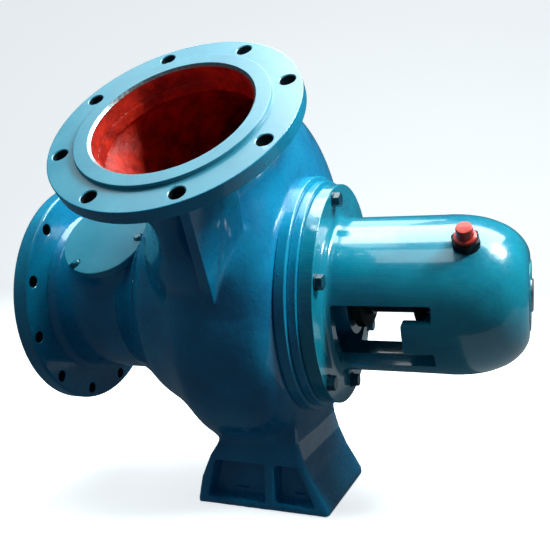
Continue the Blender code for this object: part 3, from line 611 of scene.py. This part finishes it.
def neckField(x, height, across, wall):
    # superellipse across the neck at each height, measured along the ray from its centre, whose width
    # falls in step with the distance towards -Y, so that the section is an egg
    halfWidth, back, front, power, taper = (
        np.interp(height, neckStations[:, 0], neckStations[:, k]) for k in range(1, 6))
    middle = 0.5 * (back - front)
    half = 0.5 * (back + front) - wall
    narrowing = 1 - taper * np.clip((middle - across) / half, 0, 1)
    side = np.abs(x) / ((halfWidth - wall) * narrowing)
    span = np.abs(across - middle) / half
    share = (side ** power + span ** power) ** (1 / power) + 1e-6
    ray = np.hypot(x, across - middle) + 1e-6
    return ray - ray / share


gusset = {   # heights along the leaning axis, then at each end: left side, front ridge and front face
    "low": 0.150, "high": 0.3242, "lowEnd": (0.0205, 0.0345, 0.146), "highEnd": (0.0565, 0.0690, 0.151),
    "root": 0.070, "spread": 0.386, "edge": 0.0016,
}


def gussetField(x, height, across):
    # wedge between its left side and its spreading right side, drawn in by its round edges
    part = (height - gusset["low"]) / (gusset["high"] - gusset["low"])
    left, ridge, face = (low + (high - low) * part for low, high in zip(gusset["lowEnd"], gusset["highEnd"]))
    right = ridge + gusset["spread"] * (across + face)
    wedge = np.maximum(np.maximum(left - x, (x - right) * 0.93), -across - face)
    return np.maximum(wedge, np.maximum(gusset["low"] - height, across + gusset["root"])) + gusset["edge"]


def makeGusset():
    # the same wedge as a crisp solid with round edges
    place = leaningPlace(pump["dischargeTilt"])
    rings = []
    for height, end in ((gusset["low"], gusset["lowEnd"]), (gusset["high"], gusset["highEnd"])):
        left, ridge, face = end
        right = ridge + gusset["spread"] * (face - gusset["root"])
        rings += [(height, left, -face), (height, ridge, -face), (height, right, -gusset["root"]),
                  (height, left, -gusset["root"])]
    faces = gridFaces(2, 4, False, True).tolist() + [[0, 1, 2, 3], [7, 6, 5, 4]]
    piece = meshObject("gusset", placed(np.array(rings), place), faces)
    faceOutwards(piece)
    bevel = piece.modifiers.new("round_edges", "BEVEL")
    bevel.width = gusset["edge"]
    bevel.segments = 3
    applyModifiers(piece)
    return piece


foot = {
    "near": -0.086, "far": 0.114, "webNear": -0.056, "webFar": 0.072, "base": 0.012, "ledge": 0.069,
    "ribLeft": 0.047, "ribRight": 0.063, "holeRadius": 0.009, "holeX": (0.0, 0.094), "holeY": (-0.072, 0.089),
}
footOutline = [
    (0.146, 0.0), (0.146, 0.010), (0.136, 0.027), (0.121, 0.051), (0.108, 0.079), (0.100, 0.105),
    (0.096, 0.150), (-0.014, 0.150), (-0.023, 0.104), (-0.042, 0.075), (-0.057, 0.040), (-0.064, 0.003),
    (-0.064, 0.0)]
pocketOutlines = [
    [(-0.046, foot["base"]), (foot["ribLeft"], foot["base"]), (foot["ribLeft"], foot["ledge"]),
     (-0.032, foot["ledge"])],
    [(foot["ribRight"], foot["base"]), (0.124, foot["base"]), (0.112, 0.042), (0.099, foot["ledge"]),
     (foot["ribRight"], foot["ledge"])]]


def castingTables():
    closeToAxis = [(casting["back"], 0.0), (casting["front"], 0.0)]
    cavityClose = [(0.093, 0.0), (-0.105, 0.0)]
    return {
        "outside": outlineTable(np.vstack([smoothCurve(section), closeToAxis])),
        "inside": outlineTable(np.vstack([smoothCurve(cavitySection), cavityClose])),
        "foot": outlineTable(footOutline),
        "pockets": [outlineTable(outline) for outline in pocketOutlines],
    }


def footField(x, y, up, tables):
    depth = np.maximum(foot["near"] - y, y - foot["far"])
    web = np.maximum(foot["webNear"] - y, y - foot["webFar"])
    body = smoothMax(lookUp(tables["foot"], x, up)[..., 0], depth, 0.006)
    for table in tables["pockets"]:
        pocket = smoothMax(lookUp(table, x, up)[..., 0], -web, 0.006)
        body = smoothMax(body, -pocket, 0.004)
    return body


def cavityField(points, tables):
    # everything the stock fills: spiral, neck, and the bores at the suction and drive sides
    x, y, z = points[..., 0], points[..., 1], points[..., 2] - pump["shaftHeight"]
    tilt = pump["dischargeTilt"]
    height = -y * math.sin(tilt) + z * math.cos(tilt)
    across = y * math.cos(tilt) + z * math.sin(tilt)
    out = np.hypot(y, z)
    cavity = spiralField(x, y, z, tables["inside"], casting["cavityBase"], casting["wall"])
    neckInside = np.maximum(neckField(x, height, across, casting["neckWall"]), 0.05 - height)
    neckInside = np.where(height > 0.305, np.hypot(x, across) - casting["bore"], neckInside)
    cavity = smoothMin(cavity, neckInside, 0.012)
    eye = np.maximum(out - casting["eye"], x)
    rear = np.maximum(out - casting["rearBore"], -x)
    return np.minimum(cavity, np.minimum(eye, rear))


def castingField(points, tables):
    x, y, up = points[..., 0], points[..., 1], points[..., 2]
    z = up - pump["shaftHeight"]
    tilt = pump["dischargeTilt"]
    height = -y * math.sin(tilt) + z * math.cos(tilt)
    across = y * math.cos(tilt) + z * math.sin(tilt)
    spiral = spiralField(x, y, z, tables["outside"], casting["spiralBase"], 0.0)
    neck = np.maximum(neckField(x, height, across, 0.0), 0.05 - height)
    body = smoothMin(spiral, neck, casting["neckFillet"])
    body = smoothMin(body, gussetField(x, height, across), casting["gussetFillet"])
    body = smoothMin(body, footField(x, y, up, tables), casting["footFillet"])
    body = np.maximum(body, height - casting["neckTop"])
    body = smoothMax(body, -cavityField(points, tables), 0.003)
    body = np.maximum(body, np.maximum(casting["front"] - x, x - 0.150))
    return body


def surfaceNet(field, low, spacing):
    # one vertex in each cell that the surface crosses, at the mean of its edge crossings,
    # and one quad across each grid edge whose ends lie on different sides
    inside = field < 0
    cells = tuple(n - 1 for n in field.shape)
    total = np.zeros((*cells, 3), np.float32)
    count = np.zeros(cells, np.float32)
    base = np.stack(np.meshgrid(*[np.arange(n, dtype=np.float32) for n in field.shape], indexing="ij"), -1)
    quads = []
    mixed = np.zeros(cells, bool)
    crossings = []
    for axis in range(3):
        near = [slice(None)] * 3
        far = [slice(None)] * 3
        near[axis], far[axis] = slice(None, -1), slice(1, None)
        a, b = field[tuple(near)], field[tuple(far)]
        cross = inside[tuple(near)] != inside[tuple(far)]
        share = np.where(cross, a / np.where(cross, a - b, 1), 0)
        spot = base[tuple(near)].copy()
        spot[..., axis] += share
        spot *= cross[..., None]
        others = [k for k in range(3) if k != axis]
        for first in (0, 1):
            for second in (0, 1):
                pick = [slice(None)] * 3
                pick[others[0]] = slice(first, first + cells[others[0]])
                pick[others[1]] = slice(second, second + cells[others[1]])
                total += spot[tuple(pick)]
                count += cross[tuple(pick)]
        crossings.append((axis, others, cross, inside[tuple(near)]))
    mixed = count > 0
    index = np.full(cells, -1, np.int64)
    index[mixed] = np.arange(mixed.sum())
    points = total[mixed] / count[mixed][:, None] * spacing + np.asarray(low)
    for axis, others, cross, startsInside in crossings:
        pick = [slice(None)] * 3
        pick[others[0]] = slice(1, cells[others[0]])
        pick[others[1]] = slice(1, cells[others[1]])
        cell = np.argwhere(cross[tuple(pick)])
        cell[:, others[0]] += 1
        cell[:, others[1]] += 1
        corner = []
        for first, second in ((1, 1), (0, 1), (0, 0), (1, 0)):
            at = cell.copy()
            at[:, others[0]] -= first
            at[:, others[1]] -= second
            corner.append(index[tuple(at.T)])
        quad = np.stack(corner, 1)
        flip = startsInside[tuple(cell.T)] == (axis == 1)
        quad[flip] = quad[flip][:, ::-1]
        quads.append(quad)
    return points.astype(float), np.vstack(quads)


def settled(points, faces, fieldAt, rounds=3, step=0.0004):
    # evens out the vertices along the surface and then puts each one back onto the field's zero
    edges = np.vstack([faces[:, [k, (k + 1) % 4]] for k in range(4)])
    share = np.bincount(edges[:, 0], minlength=len(points)) + np.bincount(edges[:, 1], minlength=len(points))
    offsets = step * np.eye(3)
    for turn in range(rounds):
        if turn:
            mean = np.zeros_like(points)
            for k in range(3):
                mean[:, k] = np.bincount(edges[:, 0], points[edges[:, 1], k], len(points))
                mean[:, k] += np.bincount(edges[:, 1], points[edges[:, 0], k], len(points))
            points = 0.5 * points + 0.5 * mean / share[:, None]
        for again in range(2):
            value = fieldAt(points)
            slope = np.stack([(fieldAt(points + offset) - value) / step for offset in offsets], -1)
            size = np.maximum((slope ** 2).sum(-1), 0.2)
            move = slope * (value / size)[:, None]
            points = points - np.clip(move, -0.002, 0.002)
    return points


def castPiece(name, fieldAt, low, high, spacing, finish):
    axes = [np.arange(low[k] - 2 * spacing, high[k] + 2 * spacing, spacing) for k in range(3)]
    field = np.empty(tuple(len(a) for a in axes))
    for first in range(0, len(axes[0]), 16):
        block = np.stack(np.meshgrid(axes[0][first:first + 16], axes[1], axes[2], indexing="ij"), -1)
        field[first:first + 16] = fieldAt(block)
    points, faces = surfaceNet(field, [a[0] for a in axes], spacing)
    points = settled(points, faces, fieldAt)
    return meshObject(name, points, faces, finish, 50)


def faceCentres(piece):
    centres = np.empty(len(piece.data.polygons) * 3)
    piece.data.polygons.foreach_get("center", centres)
    return centres.reshape(-1, 3)


def paintFaces(piece, finish, where):
    # gives the marked faces another finish
    index = len(piece.data.materials)
    piece.data.materials.append(finish)
    slots = np.empty(len(piece.data.polygons), np.int32)
    piece.data.polygons.foreach_get("material_index", slots)
    slots[where] = index
    piece.data.polygons.foreach_set("material_index", slots)


def inHoles(local, centres, radius):
    # faces on the walls of a circle of holes, in their flange's own axes
    away = [np.hypot(local[:, 1] - centre[0], local[:, 2] - centre[1]) for centre in centres]
    return np.min(away, 0) < radius + 0.0002


def makeCasting(finishes):
    tables = castingTables()
    corners = [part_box(name) for name in ("volute_casing", "discharge_neck", "casing_foot")]
    low = np.min([box[0] for box in corners], 0)
    high = np.max([box[1] for box in corners], 0)
    piece = castPiece(
        "pump_casting", lambda p: castingField(p, tables), low, high, casting["spacing"], finishes["enamel"])
    for x in foot["holeX"]:
        for y in foot["holeY"]:
            upright = (np.array([x, y, 0.0]), np.array([[0.0, 0, 1], [1, 0, 0], [0, 1, 0]]))
            drilled(piece, 0.0, foot["base"], foot["holeRadius"], 0.0005, upright, [(0.0, 0.0)])
    combined(piece, makeGusset(), "UNION")
    inside = np.abs(cavityField(faceCentres(piece), tables)) < 0.006
    paintFaces(piece, finishes["primer"], inside)
    finished(piece, "blue_enamel", "volute_casing", "discharge_neck", "casing_foot")
    print("casting", len(piece.data.polygons), "faces")


# Discharge flange

def makeDischargeFlange(finishes):
    flange = {
        "face": 0.3423, "thick": 0.0182, "radius": 0.170, "bore": 0.1084, "raisedRadius": 0.1319,
        "raised": 0.0054, "holes": 8, "pitchRadius": 0.1519, "holeRadius": 0.0105, "fillet": 0.012,
        "neck": 0.1262, "chamfer": 0.0035,
    }
    back = flange["face"] - flange["thick"]
    face = flange["face"]
    top = face + flange["raised"]
    outline = roundedOutline([
        (back, flange["bore"], 0), (back, 0.118, 0), (back - flange["fillet"], 0.118, 0),
        (back - flange["fillet"], flange["neck"], 0), (back, flange["neck"] + 0.0005, 0.012),
        (back, flange["radius"], 0.0016), (face, flange["radius"], 0.0014),
        (face, flange["raisedRadius"], 0.0010), (top, flange["raisedRadius"] - 0.0005, 0.0009),
        (top, flange["bore"] + flange["chamfer"], 0.0008), (top - flange["chamfer"], flange["bore"], 0.0008)])
    place = leaningPlace(pump["dischargeTilt"])
    piece = turned("discharge_flange_face", outline, place, finishes["dischargeFaceWithSheen"], 192)
    centres = circleCentres(flange["pitchRadius"], flange["holes"], np.pi / flange["holes"])
    drilled(piece, back, face, flange["holeRadius"], 0.0012, place, centres)
    local = (faceCentres(piece) - place[0]) @ place[1].T
    out = np.hypot(local[:, 1], local[:, 2])
    outside = (out > flange["radius"] - 0.0015) | (local[:, 0] < back + 0.0002)
    paintFaces(piece, finishes["ringEnamel"], outside)
    # the bolt hole walls get the near-black finish: painted shade for the dark inside of the holes
    paintFaces(piece, finishes["holeIronShade"], inHoles(local, centres, flange["holeRadius"]))
    paintFaces(piece, finishes["primer"], (out < flange["bore"] + 0.0003) & (local[:, 0] < top - 0.0045))
    paintFaces(piece, finishes["bareSteel"], (out < flange["bore"] + 0.0038) & (local[:, 0] > top - 0.0045)
               & (local[:, 0] < top - 0.0002))
    finished(piece, "pale_blue_enamel", "discharge_flange")
    print("discharge flange")


# Suction nozzle, its flange and the hand hole's lid

nozzle = {
    "face": -0.3174, "thick": 0.026, "radius": 0.1838, "bore": 0.110, "raisedRadius": 0.150, "raised": 0.003,
    "holes": 12, "pitchRadius": 0.1675, "holeRadius": 0.009, "phase": math.radians(20.2),
    "end": -0.1213, "spacing": 0.0036,
    "lidRadius": 0.070, "lidBore": 0.046, "seat": 0.1385, "lidTop": 0.1505, "bossRadius": 0.0645,
    "lidBolts": (-123.0, -3.0, 117.0), "slotHalf": 0.007, "slotDepth": 0.011,
}
nozzleOutline = [
    (-0.2911, 0.1385), (-0.288, 0.1325), (-0.283, 0.1285), (-0.275, 0.1267), (-0.182, 0.1267),
    (-0.170, 0.129), (-0.156, 0.1353), (-0.139, 0.1455), (-0.1213, 0.1588)]


def nozzleField(points, table):
    x, y, z = points[..., 0], points[..., 1], points[..., 2] - pump["shaftHeight"]
    tilt = pump["handHoleTilt"]
    height = -y * math.sin(tilt) + z * math.cos(tilt)
    across = y * math.cos(tilt) + z * math.sin(tilt)
    fromHole = np.hypot(x - pump["handHoleX"], across)
    out = np.hypot(y, z)
    tube = lookUp(table, x, out)[..., 0]
    boss = np.maximum(fromHole - nozzle["bossRadius"], np.maximum(height - nozzle["seat"], 0.06 - height))
    body = smoothMin(tube, boss, 0.010)
    recess = np.maximum(fromHole - nozzle["lidRadius"] - 0.0012, nozzle["seat"] - height)
    body = smoothMax(body, -recess, 0.0015)
    body = smoothMax(body, nozzle["bore"] - out, 0.003)
    body = smoothMax(body, -np.maximum(fromHole - nozzle["lidBore"], 0.02 - height), 0.002)
    return np.maximum(body, np.maximum(-0.2911 - x, x - nozzle["end"]))


def makeNozzle(finishes):
    table = outlineTable(np.vstack([smoothCurve(nozzleOutline), [(-0.1213, 0.0), (-0.2911, 0.0)]]))
    low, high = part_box("suction_nozzle")
    piece = castPiece(
        "suction_inlet", lambda p: nozzleField(p, table), low, high, nozzle["spacing"], finishes["enamel"])
    centres = faceCentres(piece)
    out = np.hypot(centres[:, 1], centres[:, 2] - pump["shaftHeight"])
    paintFaces(piece, finishes["primer"], out < nozzle["bore"] + 0.0008)
    finished(piece, "blue_enamel", "suction_nozzle")
    print("suction nozzle", len(piece.data.polygons), "faces")


def makeSuctionFlange(finishes):
    back = nozzle["face"] + nozzle["thick"]
    face = nozzle["face"]
    front = face - nozzle["raised"]
    outline = roundedOutline([
        (back, nozzle["bore"], 0), (front, nozzle["bore"], 0.0015), (front, nozzle["raisedRadius"], 0.0012),
        (face, nozzle["raisedRadius"] + 0.0005, 0.0010), (face, nozzle["radius"], 0.006),
        (back, nozzle["radius"], 0.004)])
    piece = turned("suction_flange_ring", outline, shaftPlace(), finishes["ringEnamel"], 192)
    centres = circleCentres(nozzle["pitchRadius"], nozzle["holes"], nozzle["phase"])
    drilled(piece, face, back, nozzle["holeRadius"], 0.0010, shaftPlace(), centres)
    local = faceCentres(piece) - shaftPlace()[0]
    # the bolt hole walls get the near-black finish: painted shade for the dark inside of the holes
    paintFaces(piece, finishes["holeIronShade"], inHoles(local, centres, nozzle["holeRadius"]))
    finished(piece, "blue_enamel", "suction_flange")
    print("suction flange")


def makeHandHoleLid(finishes):
    place = leaningPlace(pump["handHoleTilt"], pump["handHoleX"])
    seat = nozzle["seat"] + 0.0003
    spigot = nozzle["lidBore"] - 0.001
    outline = roundedOutline([
        (0.120, 0.0, 0), (0.120, spigot, 0.001), (seat, spigot, 0), (seat, nozzle["lidRadius"], 0.0008),
        (nozzle["lidTop"], nozzle["lidRadius"], 0.0018), (nozzle["lidTop"], 0.0, 0)], closed=False)
    lid = turned("hand_hole_lid", outline, place, finishes["lidEnamelWithLight"], 144, False)
    slots = []
    for degrees in nozzle["lidBolts"]:
        angle = math.radians(degrees)
        bend = np.linspace(np.pi / 2, 3 * np.pi / 2, 13)
        half = nozzle["slotHalf"]
        middle = nozzle["lidRadius"] - nozzle["slotDepth"]
        local = np.column_stack([middle + half * np.cos(bend), half * np.sin(bend)])
        local = np.vstack([local, [(0.09, -half), (0.09, half)]])
        turn = np.array([[math.cos(angle), math.sin(angle)], [-math.sin(angle), math.cos(angle)]])
        slots.append(extruded("slot", local @ turn, [seat - 0.002, nozzle["lidTop"] + 0.005], place))
    combined(lid, joined("slots", slots))
    finished(lid, "pale_blue_enamel", "hand_hole_cover")
    studs = []
    for degrees in nozzle["lidBolts"]:
        angle = math.radians(degrees)
        middle = nozzle["lidRadius"] - nozzle["slotDepth"]
        centre = (middle * math.cos(angle), middle * math.sin(angle))
        studs.append(threadedEnd("stud", seat - 0.004, nozzle["lidTop"] + 0.004, 0.0050, place, centre))
    finished(joined("hand_hole_studs", studs), "blue_enamel").data.materials.append(finishes["smoothEnamel"])
    print("hand hole lid")


# Fasteners

def threadedEnd(name, low, high, radius, place, centre, pitch=0.0015):
    # stud with a thread: the radius rises and falls along the helix once in each pitch
    rows = max(int((high - low) / pitch * 6), 12)
    along = np.linspace(low, high, rows)[:, None]
    angle = np.linspace(0, 2 * np.pi, 24, endpoint=False)[None, :]
    wave = np.abs(((along / pitch + angle / (2 * np.pi)) % 1) - 0.5) * 2
    out = radius - 0.0007 * wave
    out = np.minimum(out, radius - 0.0014 + (high - along) * 0.9 + 0.0002)
    out = np.vstack([out, np.zeros((1, 24))])
    along = np.vstack([along, [[high]]])
    grid = np.stack([
        np.repeat(along, 24, 1),
        out * np.cos(angle) + centre[0],
        out * np.sin(angle) + centre[1]], -1)
    faces = gridFaces(rows + 1, 24, False, True)[:, ::-1].tolist()
    faces.append(list(range(24)))
    piece = meshObject(name, placed(grid.reshape(-1, 3), place), faces)
    mergeClose(piece)
    faceOutwards(piece)
    return piece


def hexagonPiece(name, low, high, acrossFlats, place, centre=(0.0, 0.0), turn=0.0, bore=0.0):
    # hexagon whose corners are cut by a 30 degree cone at the top
    angle = np.linspace(0, 2 * np.pi, 72, endpoint=False)
    flat = 0.5 * acrossFlats
    hexagon = flat / np.cos((angle + np.pi / 6) % (np.pi / 3) - np.pi / 6)
    depth = flat * 0.1547 * math.tan(math.radians(30)) + 0.0002
    levels = np.r_[low, np.linspace(high - depth, high, 5)]
    cone = flat * 0.95 + (high - levels) / math.tan(math.radians(30))
    out = np.minimum(hexagon[None, :], cone[:, None])
    out = np.vstack([np.full((1, 72), bore), out, np.full((1, 72), bore)])
    along = np.r_[low, levels, high][:, None]
    grid = np.stack([
        np.repeat(along, 72, 1),
        out * np.cos(angle + turn) + centre[0],
        out * np.sin(angle + turn) + centre[1]], -1)
    faces = gridFaces(len(along), 72, bore > 0, True)[:, ::-1]
    piece = meshObject(name, placed(grid.reshape(-1, 3), place), faces)
    mergeClose(piece)
    faceOutwards(piece)
    return piece


def makeCoverBolts(finishes):
    bolts = {   # angle round the shaft and distance from it
        "places": ((112, 0.150), (169, 0.150), (230, 0.152), (282, 0.142), (334, 0.150), (40, 0.150)),
        "flats": 0.019, "head": 0.009,
    }
    face = 0.1539
    heads = []
    for index, (degrees, out) in enumerate(bolts["places"]):
        centre = out * np.array([math.cos(math.radians(degrees)), math.sin(math.radians(degrees))])
        washer = turned("washer", roundedOutline([
            (face, 0.0, 0), (face, 0.0118, 0.0002), (face + 0.0022, 0.0118, 0.0006), (face + 0.0022, 0.0, 0)],
            closed=False), (shaftPlace()[0] + [0, *centre], np.eye(3)), sides=40, closed=False)
        turn = 0.3 + 0.7 * index
        heads += [washer, hexagonPiece(
            "head", face + 0.0022, face + 0.0022 + bolts["head"], bolts["flats"], shaftPlace(), centre, turn)]
    piece = joined("cover_bolts", heads)
    piece.data.materials.append(finishes["paintedBolt"])
    piece.data.set_sharp_from_angle(angle=math.radians(25))
    finished(piece, "dark_steel")


# Flange rings, bracket and oil filler

def makeRings(finishes):
    rear = roundedOutline([
        (0.0975, 0.1502, 0), (0.0975, 0.166, 0), (0.1053, 0.178, 0.002), (0.1204, 0.178, 0.0022),
        (0.1204, 0.1502, 0)])
    finished(turned("rear_flange_ring", rear, shaftPlace(), finishes["ringEnamel"], 192),
             "blue_enamel", "casing_rear_flange")
    cover = roundedOutline([
        (0.092, 0.0402, 0.001), (0.092, 0.1499, 0.001), (0.1207, 0.1499, 0), (0.1207, 0.1705, 0.0012),
        (0.1332, 0.1705, 0.0016), (0.1332, 0.066, 0.006), (0.172, 0.0615, 0.002), (0.172, 0.0402, 0.001)])
    finished(turned("stuffing_box_body", cover, shaftPlace(), finishes["ringEnamel"], 160),
             "blue_enamel", "stuffing_box_cover")
    print("rings")


bracket = {
    "flangeBack": 0.1335, "flangeFace": 0.1539, "flangeRadius": 0.1644, "radius": 0.1141, "bore": 0.098,
    "boreEnd": 0.300, "shaftHole": 0.028, "seat": 0.404, "seatRadius": 0.0503, "end": 0.417,
    "windowStart": 0.163, "windowEnd": 0.2575, "slotEnd": 0.298,
    "windowAngles": (3.0, 15.5, 40.0, 55.0), "windowCorner": 0.004,
}


def windowCutter(side):
    # outline drawn on the housing's surface as (x, arc length), carried from inside to outside it
    top, tongueTop, tongueBottom, bottom = (math.radians(a) for a in bracket["windowAngles"])
    reach = bracket["radius"]
    start, end, slot = bracket["windowStart"], bracket["windowEnd"], bracket["slotEnd"]
    corner = bracket["windowCorner"]
    outline = roundedOutline([
        (start, top * reach, corner), (slot, top * reach, corner), (slot, tongueTop * reach, corner),
        (end, tongueTop * reach, corner), (end, tongueBottom * reach, corner),
        (slot, tongueBottom * reach, corner), (slot, bottom * reach, corner),
        (start, bottom * reach, corner)], 5)
    angle = -outline[:, 1] / reach
    rings = [np.column_stack([outline[:, 0], side * level * np.cos(angle), level * np.sin(angle)])
             for level in (0.075, 0.140)]
    count = len(outline)
    faces = gridFaces(2, count, False, True).tolist()
    faces += [list(range(count))[::-1], list(range(count, 2 * count))]
    cutter = meshObject("window", placed(np.vstack(rings), shaftPlace()), faces)
    faceOutwards(cutter)
    return cutter


def makeBracket(finishes):
    b = bracket
    flange = roundedOutline([
        (b["flangeBack"], b["bore"], 0), (b["flangeBack"], b["flangeRadius"], 0.0014),
        (b["flangeFace"], b["flangeRadius"], 0.0016), (b["flangeFace"], b["radius"], 0.012),
        (0.250, b["radius"], 0)], 6, closed=False)
    dome = smoothCurve([
        (0.300, 0.1142), (0.318, 0.1144), (0.340, 0.1126), (0.362, 0.108), (0.383, 0.0995), (0.396, 0.091),
        (0.406, 0.081), (0.4125, 0.071), (0.4160, 0.062), (0.417, 0.055)])
    inside = roundedOutline([
        (b["end"], 0.054, 0), (b["end"], b["seatRadius"], 0.001), (b["seat"], b["seatRadius"], 0),
        (b["seat"], b["shaftHole"], 0), (b["boreEnd"], b["shaftHole"], 0.001),
        (b["boreEnd"], b["bore"], 0.010), (b["flangeBack"], b["bore"], 0)], closed=False)[:-1]
    outline = np.vstack([flange, dome, inside])
    housing = turned("bearing_housing", outline, shaftPlace(), finishes["smoothEnamel"], 192)
    for side in (-1.0, 1.0):
        combined(housing, windowCutter(side))
    finished(housing, "blue_enamel", "bearing_bracket")
    print("bracket")


def makeOilFiller(finishes):
    filler = {"flats": 0.0345, "nutLow": 0.1150, "nutHigh": 0.1232, "turn": math.radians(12)}
    place = leaningPlace(pump["oilFillerTilt"], pump["oilFillerX"])
    nut = hexagonPiece("oil_filler_hexagon", filler["nutLow"], filler["nutHigh"], filler["flats"], place,
                       turn=filler["turn"])
    collar = turned("collar", roundedOutline([
        (0.1095, 0.0, 0), (0.1095, 0.0185, 0), (0.1148, 0.0180, 0.001), (0.1152, 0.0, 0)], closed=False),
        place, sides=48, closed=False)
    nut = joined("oil_filler_hexagon", [nut, collar])
    nut.data.materials.append(finishes["boltIron"])
    nut.data.set_sharp_from_angle(angle=math.radians(25))
    finished(nut, "dark_steel", "oil_filler_nut")
    low = filler["nutHigh"]
    cap = turned("oil_filler_plug", roundedOutline([
        (low, 0.0, 0), (low, 0.0150, 0.0006), (low + 0.0045, 0.0150, 0.0012), (low + 0.0060, 0.0112, 0.0012),
        (low + 0.0125, 0.0100, 0.0010), (low + 0.0135, 0.0112, 0.0006), (low + 0.0205, 0.0108, 0.0016),
        (low + 0.0212, 0.0, 0)], closed=False), place, finishes["redCap"], 48, False)
    finished(cap, "red_plastic", "oil_filler_cap")
    print("oil filler")


def makeAll():
    makeCamera()
    makeStudio()
    finishes = makeFinishes()
    makeCasting(finishes)
    makeDischargeFlange(finishes)
    makeNozzle(finishes)
    makeSuctionFlange(finishes)
    makeHandHoleLid(finishes)
    makeRings(finishes)
    makeBracket(finishes)
    makeCoverBolts(finishes)
    makeOilFiller(finishes)
    looks = {
        "shaft": "bareSteel", "shaft_sleeve": "bareSteel", "water_slinger": "rubber",
        "packing_gland": "castIron", "gland_stud_near": "bareSteel", "gland_stud_far": "bareSteel",
        "impeller": "castIron", "impeller_nut": "castIron", "suction_liner": "castIron",
        "casing_drain_plug": "boltIron",
    }
    for name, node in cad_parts.items():
        node.data.materials.clear()
        node.data.materials.append(finishes[looks.get(name, "smoothEnamel")])


makeAll()
